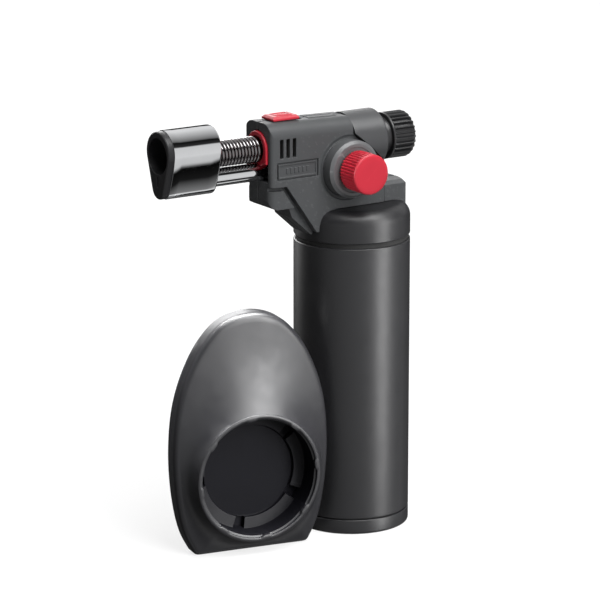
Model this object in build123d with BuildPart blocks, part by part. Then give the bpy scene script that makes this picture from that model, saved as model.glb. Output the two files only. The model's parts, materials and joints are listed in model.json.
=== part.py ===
"""Butane torch with a screw-on gas knob, a push igniter, an air slider and a loose table stand.

The origin is the centre of the tank's underside. +Z is up, the muzzle points along -X and the
gas knob stands out on the -Y side.
"""
from build123d import *
import math
import os

os.makedirs("parts", exist_ok=True)

# ---------------------------------------------------------------- driving dimensions (mm)
FIT = 0.05                  # radial clearance of a sliding or turning fit
GAP = 0.2                   # clearance between shells that only sit side by side

TANK_R = 21.0
SLEEVE_WALL = 1.0
BASE_H = 5.4                # height of the foot ring
SLEEVE_Z0 = 5.9
SLEEVE_Z1 = 105.9
SHOULDER_Z0 = 107.7
SHOULDER_Z1 = 119.0
SHOULDER_ROUND = 6.5
SEAL_R = 20.2               # dark rings seen in the two grooves
VESSEL_R = 19.8
VESSEL_WALL = 1.5
NECK_R = 7.0
NECK_Z1 = 120.5
FOOT_HOLE_R = 8.0

VALVE_R = 3.5               # filling valve
VALVE_Z0 = 1.4
VALVE_Z1 = 13.0
STEM_R = 1.0

HEAD_X0 = -39.8             # front face of the head
HEAD_X1 = 8.2               # rear face of the head
HEAD_Z0 = 119.2
HEAD_Z1 = 152.3
HEAD_HALF = 8.6
HEAD_ROUND = 5.0            # rounding of the head's upper edges
ROOF_SLOPE = 0.025          # the roof drops this much per millimetre towards the rear
FRONT_ROUND = 1.4           # rounding of the side plate's front corners
NOSE_HALF = 7.8
NOSE_ROUND = 2.6
NOSE_Z0 = 121.4
PARTING = 0.08              # each shell stops this far from the middle plane
SHELL_WALL = 1.9
REAR_BLOCK_R = 19.7         # plan radius of the block behind the neck
REAR_BLOCK_HALF = 7.7
REAR_BLOCK_Z0 = 116.5
REAR_BLOCK_ROUND = 1.2
SEAM_W = 0.6                # groove between the side plate and the rear block
SEAM_DEEP = 0.9
GROOVE_DEEP = 1.8           # groove under the side plate, measured from the nose's side
KEEL_HALF = 5.6             # half width of the keel under the nose
REAR_BLOCK_Z1 = 126.2

BURNER_Z = 142.7            # axis of the burner tube, the coil and the air slider
MUZZLE_Z = 144.6            # axis of the muzzle's mouth
CONDUIT_Z = 134.4           # axis of the conduit tube under the burner tube
GUARD_X0 = -78.4
GUARD_X1 = -59.2
GUARD_WALL = 0.9
GUARD_TOP_R = 7.9
GUARD_TOP_Z = 145.6
GUARD_LOW_R = 4.3
GUARD_LOW_Z = 133.4
INSERT_X0 = -80.8
INSERT_X1 = -70.0
MOUTH_R = 6.35

TUBE_R = 3.6                # burner tube
TUBE_BORE_R = 2.9
COIL_PITCH = 1.34
COIL_WIRE_R = 0.52
COIL_TURNS = 13
CONDUIT_R = 3.2
CONDUIT_BORE_R = 2.3
CONDUIT_X1 = -31.4
CRADLE_X0 = -33.6            # rib under the conduit's inner end
CRADLE_X1 = -31.8
CRADLE_Z1 = 135.8
MOUTH_HALF = 6.6            # half width of the arched mouth in the head's front
MOUTH_Z0 = 131.3

SLEEVE_BORE_R = 4.75        # air slider
SLIDER_R = 6.4
SLIDER_X0 = -40.6
SLIDER_X1 = -27.0
TAB_X0 = -35.8
TAB_X1 = -24.9
TAB_HALF = 3.9
TAB_Z1 = 153.9
STEM_HALF = 2.0             # half width of the slider's neck

KNOB_X = -7.4               # axis of the gas knob, along Y
KNOB_Z = 133.6
KNOB_R = 7.25
KNOB_Y0 = -13.6
KNOB_Y1 = -23.4
KNOB_RIBS = 40
SPINDLE_R = 2.0
BOSS_R = 10.4
BOSS_Y = -13.4
RECESS_R = 11.7

REAR_Z = 141.4              # axis of the rear cover and the push button
REAR_R = 10.6
REAR_BORE_R = 8.8
REAR_NECK_BORE_R = 7.1
REAR_X0 = -5.0
REAR_X1 = 8.8
BUTTON_R = 8.5
BUTTON_X0 = 11.4
BUTTON_X1 = 23.0
BUTTON_RIBS = 26

BLOCK_X0 = -14.0            # gas valve block
BLOCK_X1 = 2.0
BLOCK_HALF = 5.0
BLOCK_Z0 = 127.5
BLOCK_Z1 = 137.2

SLOT_X = (-35.3, -32.65, -30.0)
SLOT_W = 1.4
SLOT_Z0 = 139.9
SLOT_Z1 = 146.7
PLATE_X = -28.6             # centre of the blank nameplate
PLATE_Z = 135.3
PLATE_L = 17.2
PLATE_H = 6.3
PLATE_DEEP = 0.7

SCREW_PLACES = ((-35.0, 125.5), (-16.0, 147.4), (12.5, 122.8))
SCREW_R = 0.9
SCREW_HEAD_R = 1.6
SCREW_BOSS_R = 2.0

STAND_X = -48.7             # middle of the open back
STAND_Y = -4.9
STAND_TURN = -10.0          # degrees the loose stand is turned about the vertical
STAND_H = 87.0
STAND_FOOT_HALF = 21.5
STAND_SIDE = 7.2            # depth of its straight sides
STAND_RISE = 6.9            # how far the socket's rim stands out beyond them
STAND_WALL = 1.8
SOCKET_Z = 28.3
SOCKET_R = 21.3
SOCKET_DEEP = 10.0
RIM_R = 23.4
LIP_R = 21.9                # widened mouth of the socket, between its lugs
LIP_DEEP = 1.2
LUGS = 8
LUG_W = 3.2
LUG_START = 7.0             # degrees of the first lug from the level, seen from the front


# ---------------------------------------------------------------- shared shapes
def tube(outer_r, inner_r, z0, z1):
    """A plain ring about the tank's axis."""
    with BuildPart() as ring:
        with BuildSketch(Plane.XY.offset(z0)):
            Circle(outer_r)
            Circle(inner_r, mode=Mode.SUBTRACT)
        extrude(amount=z1 - z0)
    return ring.part


def rod_x(radius, x0, x1, z, bore=0.0):
    """A round bar or tube along X at height z."""
    with BuildPart() as bar:
        with BuildSketch(Plane.YZ.offset(x0)):
            with Locations((0, z)):
                Circle(radius)
                if bore:
                    Circle(bore, mode=Mode.SUBTRACT)
        extrude(amount=x1 - x0)
    return bar.part


def rod_y(radius, y0, y1, x, z, bore=0.0):
    """A round bar or tube along Y, from y0 towards -Y down to y1."""
    with BuildPart() as bar:
        with BuildSketch(Plane.XZ.offset(-y0)):
            with Locations((x, z)):
                Circle(radius)
                if bore:
                    Circle(bore, mode=Mode.SUBTRACT)
        extrude(amount=y0 - y1)
    return bar.part


def slab(points, y_low, y_high):
    """A straight-sided outline in the XZ plane, filled from y_low to y_high."""
    with BuildPart() as block:
        with BuildSketch(Plane.XZ.offset(-y_high)):
            with BuildLine():
                Polyline(*points, close=True)
            make_face()
        extrude(amount=y_high - y_low)
    return block.part


def rounded_slab(points, half, top_round, front_round):
    """A symmetric slab with a sloping roof, rounded upper edges and rounded front corners."""
    far = 200
    lift = ROOF_SLOPE * (HEAD_X0 + far)
    with BuildPart() as block:
        add(slab(points, -half, half))
        with BuildSketch(Plane.YZ.offset(-far)):
            with Locations((0, HEAD_Z1 + lift - far / 2)):
                RectangleRounded(2 * half, far, top_round)
        extrude(amount=2 * far, dir=(1, 0, -ROOF_SLOPE), mode=Mode.INTERSECT)
        with BuildSketch(Plane.XY):
            with Locations((HEAD_X0 + far / 2, 0)):
                RectangleRounded(far, 2 * half, front_round)
        extrude(amount=far, mode=Mode.INTERSECT)
    return block.part


def block_between(low, high):
    """A box given by its lowest and highest corner."""
    size = [b - a for a, b in zip(low, high)]
    with BuildPart() as block:
        with Locations(tuple((a + b) / 2 for a, b in zip(low, high))):
            Box(*size)
    return block.part


def pear(x0, x1, shrink):
    """The muzzle's pear-shaped prism: a large lobe over a small one, joined by tangents."""
    top_r, low_r = GUARD_TOP_R - shrink, GUARD_LOW_R - shrink
    rise = GUARD_TOP_Z - GUARD_LOW_Z
    lean = math.asin((top_r - low_r) / rise)
    side, drop = math.cos(lean), -math.sin(lean)
    with BuildPart() as prism:
        with BuildSketch(Plane.YZ.offset(x0)):
            with Locations((0, GUARD_TOP_Z)):
                Circle(top_r)
            with Locations((0, GUARD_LOW_Z)):
                Circle(low_r)
            with BuildLine():
                Polyline(
                    (top_r * side, GUARD_TOP_Z + top_r * drop),
                    (low_r * side, GUARD_LOW_Z + low_r * drop),
                    (-low_r * side, GUARD_LOW_Z + low_r * drop),
                    (-top_r * side, GUARD_TOP_Z + top_r * drop),
                    close=True,
                )
            make_face()
        extrude(amount=x1 - x0)
    return prism.part


def spring(wire_r, mean_r, pitch, height):
    """A round wire wound about the local Z axis, starting at the local origin."""
    with BuildPart() as coil:
        with BuildLine():
            path = Helix(pitch=pitch, height=height, radius=mean_r)
        with BuildSketch(Plane(path @ 0, z_dir=path % 0)):
            Circle(wire_r)
        sweep(path=path)
    return coil.part


def finish(piece, name):
    """Label a finished piece and write it to its own file."""
    piece.label = name
    export_step(piece, f"parts/{name}.step")


# ---------------------------------------------------------------- tank
with BuildPart() as tank_sleeve:
    add(tube(TANK_R, TANK_R - SLEEVE_WALL, SLEEVE_Z0, SLEEVE_Z1))
finish(tank_sleeve.part, "tank_sleeve")

VESSEL_Z0 = SLEEVE_Z0
BOSS_LOW_Z = 2.4
BOSS_LOW_R = 6.0
with BuildPart() as fuel_tank:
    add(tube(VESSEL_R, VALVE_R, VESSEL_Z0, SLEEVE_Z1))
    add(tube(BOSS_LOW_R, VALVE_R, BOSS_LOW_Z, VESSEL_Z0 + 3))
    add(tube(NECK_R, 3.0, SLEEVE_Z1 - 4, NECK_Z1))
    hollow_z0 = VESSEL_Z0 + VESSEL_WALL
    hollow_z1 = SLEEVE_Z1 - VESSEL_WALL
    with BuildSketch(Plane.XY.offset(hollow_z0)):
        Circle(VESSEL_R - VESSEL_WALL)
    extrude(amount=hollow_z1 - hollow_z0, mode=Mode.SUBTRACT)
finish(fuel_tank.part, "fuel_tank")

with BuildPart() as tank_base_ring:
    add(tube(TANK_R, FOOT_HOLE_R, 0, BASE_H))
    fillet(tank_base_ring.edges().group_by(Axis.Z)[0].sort_by(SortBy.LENGTH)[-1], 0.9)
finish(tank_base_ring.part, "tank_base_ring")

with BuildPart() as base_seal_ring:
    add(tube(SEAL_R, 15.0, BASE_H, SLEEVE_Z0))
finish(base_seal_ring.part, "base_seal_ring")

with BuildPart() as shoulder_seal_ring:
    add(tube(SEAL_R, 12.0, SLEEVE_Z1, SHOULDER_Z0))
finish(shoulder_seal_ring.part, "shoulder_seal_ring")

with BuildPart() as tank_shoulder:
    add(tube(TANK_R, NECK_R, SHOULDER_Z0, SHOULDER_Z1))
    fillet(tank_shoulder.edges().group_by(Axis.Z)[-1].sort_by(SortBy.LENGTH)[-1], SHOULDER_ROUND)
finish(tank_shoulder.part, "tank_shoulder")

# ---------------------------------------------------------------- filling valve in the underside
CHAMBER_R = 2.1
CHAMBER_Z0 = 4.0
CHAMBER_Z1 = 12.0
with BuildPart() as fill_valve_body:
    add(tube(VALVE_R, CHAMBER_R, VALVE_Z0, VALVE_Z1))
    add(tube(4.6, CHAMBER_R, VALVE_Z0, BOSS_LOW_Z))
    add(tube(VALVE_R, STEM_R + FIT, VALVE_Z0, CHAMBER_Z0))
    add(tube(VALVE_R, 0.8, CHAMBER_Z1, VALVE_Z1))
finish(fill_valve_body.part, "fill_valve_body")

SEAT_H = 0.6
with BuildPart() as fill_valve_seal:
    add(tube(2.0, STEM_R + FIT, CHAMBER_Z0, CHAMBER_Z0 + SEAT_H))
finish(fill_valve_seal.part, "fill_valve_seal")

STEM_Z0 = 0.5
STEM_HEAD_H = 1.2
HEAD_TOP_Z = CHAMBER_Z0 + SEAT_H + STEM_HEAD_H
with BuildPart() as fill_valve_stem:
    with BuildSketch(Plane.XY.offset(STEM_Z0)):
        Circle(STEM_R)
        Circle(0.4, mode=Mode.SUBTRACT)
    extrude(amount=CHAMBER_Z0 + SEAT_H - STEM_Z0)
    with BuildSketch(Plane.XY.offset(CHAMBER_Z0 + SEAT_H)):
        Circle(1.9)
    extrude(amount=STEM_HEAD_H)
finish(fill_valve_stem.part, "fill_valve_stem")

VALVE_WIRE_R = 0.22
with BuildPart() as fill_valve_spring:
    with Locations((0, 0, HEAD_TOP_Z + VALVE_WIRE_R + 0.02)):
        add(spring(VALVE_WIRE_R, 1.4, 1.3, CHAMBER_Z1 - HEAD_TOP_Z - 2 * VALVE_WIRE_R - 0.04))
finish(fill_valve_spring.part, "fill_valve_spring")

# ---------------------------------------------------------------- outlet of the tank
OUTLET_R = 3.0
OUTLET_Z0 = 96.0
with BuildPart() as outlet_valve_body:
    add(tube(OUTLET_R, 0.8, OUTLET_Z0, BLOCK_Z0))
    add(tube(5.5, 0.8, NECK_Z1 + 0.9, NECK_Z1 + 3.4))
finish(outlet_valve_body.part, "outlet_valve_body")

with BuildPart() as outlet_valve_seal:
    add(tube(5.0, OUTLET_R, NECK_Z1, NECK_Z1 + 0.9))
finish(outlet_valve_seal.part, "outlet_valve_seal")

with BuildPart() as fuel_wick:
    add(tube(1.6, 0.5, VALVE_Z1 + 3, OUTLET_Z0))
finish(fuel_wick.part, "fuel_wick")

# ---------------------------------------------------------------- gas valve block and its spindle
with BuildPart() as valve_block:
    add(block_between((BLOCK_X0, -BLOCK_HALF, BLOCK_Z0), (BLOCK_X1, BLOCK_HALF, BLOCK_Z1)))
    fillet(valve_block.edges().filter_by(Axis.Z), 1.2)
    add(rod_y(SPINDLE_R + FIT, -1.0, -BLOCK_HALF, KNOB_X, KNOB_Z), mode=Mode.SUBTRACT)
    with BuildSketch(Plane.XY.offset(BLOCK_Z0)):
        Circle(0.8)
    extrude(amount=KNOB_Z - 2.0 - BLOCK_Z0, mode=Mode.SUBTRACT)
finish(valve_block.part, "valve_block")

GLAND_Y1 = -8.3
with BuildPart() as gland_nut:
    with BuildSketch(Plane.XZ.offset(BLOCK_HALF)):
        with Locations((KNOB_X, KNOB_Z)):
            RegularPolygon(4.0, 6)
            Circle(SPINDLE_R + FIT, mode=Mode.SUBTRACT)
    extrude(amount=-GLAND_Y1 - BLOCK_HALF)
    add(rod_y(2.9, GLAND_Y1 + 1.2, GLAND_Y1, KNOB_X, KNOB_Z), mode=Mode.SUBTRACT)
finish(gland_nut.part, "gland_nut")

with BuildPart() as spindle_seal:
    add(rod_y(2.85, GLAND_Y1 + 1.2, GLAND_Y1, KNOB_X, KNOB_Z, bore=SPINDLE_R + 0.02))
finish(spindle_seal.part, "spindle_seal")

SPINDLE_Y1 = -21.0
with BuildPart() as flow_spindle:
    add(rod_y(SPINDLE_R, -2.5, SPINDLE_Y1, KNOB_X, KNOB_Z))
    chamfer(flow_spindle.edges().group_by(Axis.Y)[-1], 1.1)
finish(flow_spindle.part, "flow_spindle")

with BuildPart() as gas_knob:
    add(rod_y(KNOB_R, KNOB_Y0, KNOB_Y1, KNOB_X, KNOB_Z))
    with BuildSketch(Plane.XZ.offset(-KNOB_Y0)):
        with Locations((KNOB_X, KNOB_Z)):
            with PolarLocations(KNOB_R + 0.05, KNOB_RIBS):
                Rectangle(0.7, 0.52)
    extrude(amount=KNOB_Y0 - KNOB_Y1 - 1.1, mode=Mode.SUBTRACT)
    chamfer(gas_knob.edges().group_by(Axis.Y)[0], 0.35)
    add(rod_y(SPINDLE_R, KNOB_Y0, SPINDLE_Y1, KNOB_X, KNOB_Z), mode=Mode.SUBTRACT)
finish(gas_knob.part, "gas_knob")

with BuildPart() as control_boss:
    add(rod_y(BOSS_R, -HEAD_HALF, BOSS_Y, KNOB_X, KNOB_Z))
    fillet(control_boss.edges().group_by(Axis.Y)[0], 1.3)
    add(rod_y(SPINDLE_R + 0.3, -HEAD_HALF, BOSS_Y, KNOB_X, KNOB_Z), mode=Mode.SUBTRACT)
finish(control_boss.part, "control_boss")

# ---------------------------------------------------------------- head shells
# The side plate covers the upper head and ends in a point in front of the tank.
side_plate = [
    (HEAD_X0, HEAD_Z1), (HEAD_X1, HEAD_Z1), (HEAD_X1, HEAD_Z0), (-12.0, HEAD_Z0),
    (-12.0, 111.9), (-20.6, 111.6),
    (-33.2, 129.6), (HEAD_X0, 129.8),
]
# The nose and the keel under it are set back from the side plate.
nose = [
    (HEAD_X0, 131.2), (HEAD_X0, 124.6), (-38.9, 122.4), (-36.8, NOSE_Z0), (-24.0, NOSE_Z0),
    (-24.0, 131.0),
]
keel = [
    (-31.6, 124.0), (-29.2, 117.4), (-21.3, 110.4), (-15.0, 110.4), (-15.0, 121.5), (-24.0, 124.0),
]
# Rail on the roof behind the slider's tab.
rail = [
    (-20.4, HEAD_Z1 - 2), (-20.4, HEAD_Z1 - 0.1), (-9.0, HEAD_Z1 - 0.5), (-6.5, HEAD_Z1 - 2),
]
# The dark groove between them.
groove = [
    (HEAD_X0 - 1, 129.5), (-33.0, 129.3), (-21.0, 111.9), (-22.4, 111.2),
    (-34.0, 128.1), (HEAD_X0 - 1, 128.4),
]
chamber = [
    (-37.9, 150.4), (6.3, 150.4), (6.3, 121.2), (-19.0, 121.2), (-27.0, 131.1), (-37.9, 131.1),
]
# The rear cover's lower front edge runs down and back.
COVER_UNDER_X = 7.3
COVER_STEP_X = 6.0
cover_under = [
    (REAR_X0 - 1, 146.5), (REAR_X0, 145.7), (6.5, 135.9), (COVER_UNDER_X, 135.9),
    (COVER_UNDER_X, 125), (REAR_X0 - 1, 125),
]
cover_seat = [
    (REAR_X0 - 0.2, 160), (REAR_X0 - 0.2, 145.6), (6.3, 135.8), (HEAD_X1 + 1, 135.8), (HEAD_X1 + 1, 160),
]


def rear_cover_outline(radius, x0, x1):
    """The rear barrel without the wedge where the head's flat side shows."""
    with BuildPart() as barrel:
        add(rod_x(radius, x0, x1, REAR_Z))
        add(slab(cover_under, -20, 20), mode=Mode.SUBTRACT)
    return barrel.part


def rear_block():
    """The block behind the neck, round in plan, with a rounded top edge."""
    with BuildPart() as block:
        with BuildSketch(Plane.XY.offset(REAR_BLOCK_Z0)):
            Circle(REAR_BLOCK_R)
            with Locations((HEAD_X1 - 1 - 30, 0)):
                Rectangle(60, 60, mode=Mode.SUBTRACT)
            with Locations((0, REAR_BLOCK_HALF + 10), (0, -REAR_BLOCK_HALF - 10)):
                Rectangle(60, 20, mode=Mode.SUBTRACT)
        extrude(amount=REAR_BLOCK_Z1 - REAR_BLOCK_Z0)
        chamfer(block.edges().group_by(Axis.Z)[-1].filter_by(Axis.Y, reverse=True), REAR_BLOCK_ROUND)
    return block.part


def shoulder_room():
    """The space of the tank's rounded shoulder with a little clearance."""
    with BuildPart() as room:
        with BuildSketch(Plane.XY.offset(100)):
            Circle(TANK_R + GAP)
        extrude(amount=SHOULDER_Z1 + 0.1 - 100)
        fillet(room.edges().group_by(Axis.Z)[-1], SHOULDER_ROUND)
    return room.part


def head_body():
    """The whole head before it is split: plate, nose, rear block, hollow and openings."""
    inner = HEAD_HALF - SHELL_WALL
    with BuildPart() as head:
        add(rounded_slab(side_plate, HEAD_HALF, HEAD_ROUND, FRONT_ROUND))
        add(rounded_slab(nose, NOSE_HALF, HEAD_ROUND, NOSE_ROUND))
        add(slab(keel, -KEEL_HALF, KEEL_HALF))
        add(slab(rail, -2.8, 2.8))
        add(rear_block())
        # hollow
        add(slab(chamber, -inner, inner), mode=Mode.SUBTRACT)
        # groove under the side plate
        add(slab(groove, -HEAD_HALF - 1, -NOSE_HALF + GROOVE_DEEP), mode=Mode.SUBTRACT)
        add(slab(groove, NOSE_HALF - GROOVE_DEEP, HEAD_HALF + 1), mode=Mode.SUBTRACT)
        # groove between the side plate and the rear block
        for side in (-1, 1):
            near, far = sorted((side * (REAR_BLOCK_HALF - SEAM_DEEP), side * (REAR_BLOCK_HALF + 1)))
            add(block_between((HEAD_X1, near, HEAD_Z0 - 5), (HEAD_X1 + SEAM_W, far, REAR_BLOCK_Z1 + 1)),
                mode=Mode.SUBTRACT)
        # room for the tank's shoulder and neck
        add(shoulder_room(), mode=Mode.SUBTRACT)
        with BuildSketch(Plane.XY.offset(SHOULDER_Z1 - 1)):
            Circle(NECK_R + GAP)
        extrude(amount=8, mode=Mode.SUBTRACT)
        # arched mouth for the air slider and the conduit, a cradle under the conduit, roof slot
        add(rod_x(MOUTH_HALF, HEAD_X0 - 1, -37.0, BURNER_Z), mode=Mode.SUBTRACT)
        add(block_between((HEAD_X0 - 1, -MOUTH_HALF, MOUTH_Z0), (-37.0, MOUTH_HALF, BURNER_Z)),
            mode=Mode.SUBTRACT)
        add(block_between((CRADLE_X0, -inner, 130.9), (CRADLE_X1, inner, CRADLE_Z1)))
        add(rod_x(CONDUIT_R, HEAD_X0 - 1, CONDUIT_X1 + 0.4, CONDUIT_Z), mode=Mode.SUBTRACT)
        add(block_between((-35.2, -STEM_HALF - GAP, 148), (-22.6, STEM_HALF + GAP, 160)),
            mode=Mode.SUBTRACT)
        # air slots
        for x in SLOT_X:
            add(block_between((x - SLOT_W / 2, -20, SLOT_Z0), (x + SLOT_W / 2, 20, SLOT_Z1)),
                mode=Mode.SUBTRACT)
        # seat of the rear cover and the way in for the button
        add(slab(cover_seat, -20, 20), mode=Mode.SUBTRACT)
        add(rod_x(REAR_R + GAP, COVER_UNDER_X, REAR_X1 + 5, REAR_Z), mode=Mode.SUBTRACT)
        add(rod_x(REAR_BORE_R, COVER_STEP_X, REAR_X1 + 5, REAR_Z), mode=Mode.SUBTRACT)
    return head.part


whole_head = head_body()
SCREW_HEAD_Y = 5.2


def screw_holes(x, z):
    """The stepped hole of one housing screw, driven from the +Y side."""
    with BuildPart() as hole:
        add(rod_y(SCREW_R, 9, -4.6, x, z))
        add(rod_y(SCREW_HEAD_R + 0.1, 12, SCREW_HEAD_Y, x, z))
    return hole.part


with BuildPart() as housing_left:
    add(whole_head)
    for x, z in SCREW_PLACES:
        add(rod_y(SCREW_BOSS_R, 0, -7.5, x, z))
    split(bisect_by=Plane.XZ.offset(PARTING), keep=Keep.TOP)
    for x, z in SCREW_PLACES:
        add(screw_holes(x, z), mode=Mode.SUBTRACT)
    # recess of the nameplate, ring groove round the boss and the spindle's way out
    add(block_between((PLATE_X - PLATE_L / 2, -HEAD_HALF - 1, PLATE_Z - PLATE_H / 2),
                      (PLATE_X + PLATE_L / 2, -HEAD_HALF + PLATE_DEEP, PLATE_Z + PLATE_H / 2)),
        mode=Mode.SUBTRACT)
    add(rod_y(RECESS_R, -HEAD_HALF + 0.6, -HEAD_HALF - 1, KNOB_X, KNOB_Z, bore=BOSS_R),
        mode=Mode.SUBTRACT)
    add(rod_y(4.9, 0, -HEAD_HALF - 1, KNOB_X, KNOB_Z), mode=Mode.SUBTRACT)
finish(housing_left.part, "housing_left")

with BuildPart() as housing_right:
    add(whole_head)
    for x, z in SCREW_PLACES:
        add(rod_y(SCREW_BOSS_R, 7.5, 0, x, z))
    split(bisect_by=Plane.XZ.offset(-PARTING), keep=Keep.BOTTOM)
    for x, z in SCREW_PLACES:
        add(screw_holes(x, z), mode=Mode.SUBTRACT)
finish(housing_right.part, "housing_right")

with BuildPart() as housing_screws:
    for x, z in SCREW_PLACES:
        add(rod_y(SCREW_R, SCREW_HEAD_Y, -4.4, x, z))
        add(rod_y(SCREW_HEAD_R, SCREW_HEAD_Y + 1.4, SCREW_HEAD_Y, x, z))
        add(block_between((x - 1.1, SCREW_HEAD_Y + 0.8, z - 0.25), (x + 1.1, 9, z + 0.25)),
            mode=Mode.SUBTRACT)
        add(block_between((x - 0.25, SCREW_HEAD_Y + 0.8, z - 1.1), (x + 0.25, 9, z + 1.1)),
            mode=Mode.SUBTRACT)
finish(housing_screws.part, "housing_screws")

with BuildPart() as nameplate:
    margin = 0.55
    add(block_between(
        (PLATE_X - PLATE_L / 2 + margin, -HEAD_HALF + 0.1, PLATE_Z - PLATE_H / 2 + margin),
        (PLATE_X + PLATE_L / 2 - margin, -HEAD_HALF + PLATE_DEEP, PLATE_Z + PLATE_H / 2 - margin)))
    fillet(nameplate.edges().filter_by(Axis.Y), 0.4)
    with BuildSketch(Plane.XZ.offset(HEAD_HALF - 0.1)):
        with Locations((PLATE_X, PLATE_Z)):
            Rectangle(PLATE_L - 2 * margin - 1.3, PLATE_H - 2 * margin - 1.3)
    extrude(amount=-0.25, mode=Mode.SUBTRACT)
finish(nameplate.part, "nameplate")

# ---------------------------------------------------------------- rear cover and igniter
with BuildPart() as rear_cover:
    add(rear_cover_outline(REAR_R, REAR_X0, REAR_X1))
    chamfer(rear_cover.edges().filter_by(GeomType.CIRCLE).group_by(Axis.X)[-1], 0.5)
    add(rod_x(REAR_NECK_BORE_R, REAR_X0, REAR_X1, REAR_Z), mode=Mode.SUBTRACT)
    add(rod_x(REAR_BORE_R, COVER_STEP_X, REAR_X1, REAR_Z), mode=Mode.SUBTRACT)
finish(rear_cover.part, "rear_cover")

PIEZO_Z0 = 137.5
PIEZO_Z1 = 145.3
PIEZO_X0 = -18.0
PIEZO_X1 = 5.0
with BuildPart() as piezo_body:
    add(block_between((PIEZO_X0, -4, PIEZO_Z0), (PIEZO_X1, 4, PIEZO_Z1)))
    fillet(piezo_body.edges().filter_by(Axis.X), 1.0)
    add(rod_x(2.5 + FIT, PIEZO_X1 - 8, PIEZO_X1, REAR_Z), mode=Mode.SUBTRACT)
finish(piezo_body.part, "piezo_body")

PLUNGER_X1 = 20.0
with BuildPart() as piezo_plunger:
    add(rod_x(2.5, PIEZO_X1 - 2.5, PLUNGER_X1, REAR_Z))
finish(piezo_plunger.part, "piezo_plunger")

PIEZO_WIRE_R = 0.35
with BuildPart() as piezo_spring:
    path_start = PIEZO_X1 + PIEZO_WIRE_R + 0.05
    with Locations(Location((path_start, 0, REAR_Z), (0, 90, 0))):
        add(spring(PIEZO_WIRE_R, 3.2, 2.2, 17.6 - path_start))
finish(piezo_spring.part, "piezo_spring")

with BuildPart() as piezo_button:
    add(rod_x(BUTTON_R, BUTTON_X0, BUTTON_X1, REAR_Z))
    fillet(piezo_button.edges().group_by(Axis.X)[-1], 1.6)
    with BuildSketch(Plane.YZ.offset(BUTTON_X0 + 2.0)):
        with Locations((0, REAR_Z)):
            with PolarLocations(BUTTON_R + 0.05, BUTTON_RIBS):
                Rectangle(1.3, 1.0)
    extrude(amount=BUTTON_X1 - BUTTON_X0, mode=Mode.SUBTRACT)
    add(rod_x(6.9, BUTTON_X0 - 4.0, BUTTON_X0, REAR_Z))
    add(rod_x(5.8, BUTTON_X0 - 4.0, 18.0, REAR_Z), mode=Mode.SUBTRACT)
    add(rod_x(2.5, 18.0, PLUNGER_X1, REAR_Z), mode=Mode.SUBTRACT)
finish(piezo_button.part, "piezo_button")

# ---------------------------------------------------------------- gas path to the burner
PIPE_R = 1.0
PIPE_X = -20.6
JET_X0 = -27.0
JET_X1 = -22.6
with BuildPart() as gas_pipe:
    with BuildLine() as pipe_line:
        FilletPolyline((BLOCK_X0, 0, 132.0), (PIPE_X, 0, 132.0), (PIPE_X, 0, BURNER_Z),
                       (JET_X1, 0, BURNER_Z), radius=1.5)
    with BuildSketch(Plane(pipe_line.line @ 0, z_dir=pipe_line.line % 0)):
        Circle(PIPE_R)
        Circle(0.5, mode=Mode.SUBTRACT)
    sweep()
finish(gas_pipe.part, "gas_pipe")

with BuildPart() as gas_jet:
    add(rod_x(1.5, JET_X0 - 2.0, JET_X0, BURNER_Z))
    with BuildSketch(Plane.YZ.offset(JET_X0)):
        with Locations((0, BURNER_Z)):
            RegularPolygon(3.4, 6)
    extrude(amount=JET_X1 - JET_X0)
    add(rod_x(0.25, JET_X0 - 2.0, JET_X1, BURNER_Z), mode=Mode.SUBTRACT)
finish(gas_jet.part, "gas_jet")

MIXER_X0 = -37.6
with BuildPart() as mixer_body:
    add(rod_x(SLEEVE_BORE_R - FIT, MIXER_X0, JET_X0, BURNER_Z, bore=TUBE_R))
    add(rod_x(TUBE_R, -34.0, -30.0, BURNER_Z, bore=2.4))
    add(rod_x(TUBE_R, JET_X0 - 2.0, JET_X0, BURNER_Z, bore=1.5))
    add(rod_y(1.1, 10, -10, -31.6, BURNER_Z), mode=Mode.SUBTRACT)
    with BuildSketch(Plane.XY.offset(BURNER_Z - 10)):
        with Locations((-31.6, 0)):
            Circle(1.1)
    extrude(amount=20, mode=Mode.SUBTRACT)
finish(mixer_body.part, "mixer_body")

BURNER_X0 = -70.5
with BuildPart() as burner_tube:
    add(rod_x(TUBE_R, BURNER_X0, -34.0, BURNER_Z, bore=TUBE_BORE_R))
finish(burner_tube.part, "burner_tube")

COIL_X0 = GUARD_X1 + COIL_WIRE_R + 0.1
with BuildPart() as burner_coil:
    with Locations(Location((COIL_X0, 0, BURNER_Z), (0, 90, 0))):
        add(spring(COIL_WIRE_R, TUBE_R + COIL_WIRE_R + FIT, COIL_PITCH, COIL_PITCH * COIL_TURNS))
finish(burner_coil.part, "burner_coil")

CONDUIT_X0 = GUARD_X1 - 1.0
with BuildPart() as conduit_tube:
    add(rod_x(CONDUIT_R, CONDUIT_X0, CONDUIT_X1, CONDUIT_Z, bore=CONDUIT_BORE_R))
finish(conduit_tube.part, "conduit_tube")

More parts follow.
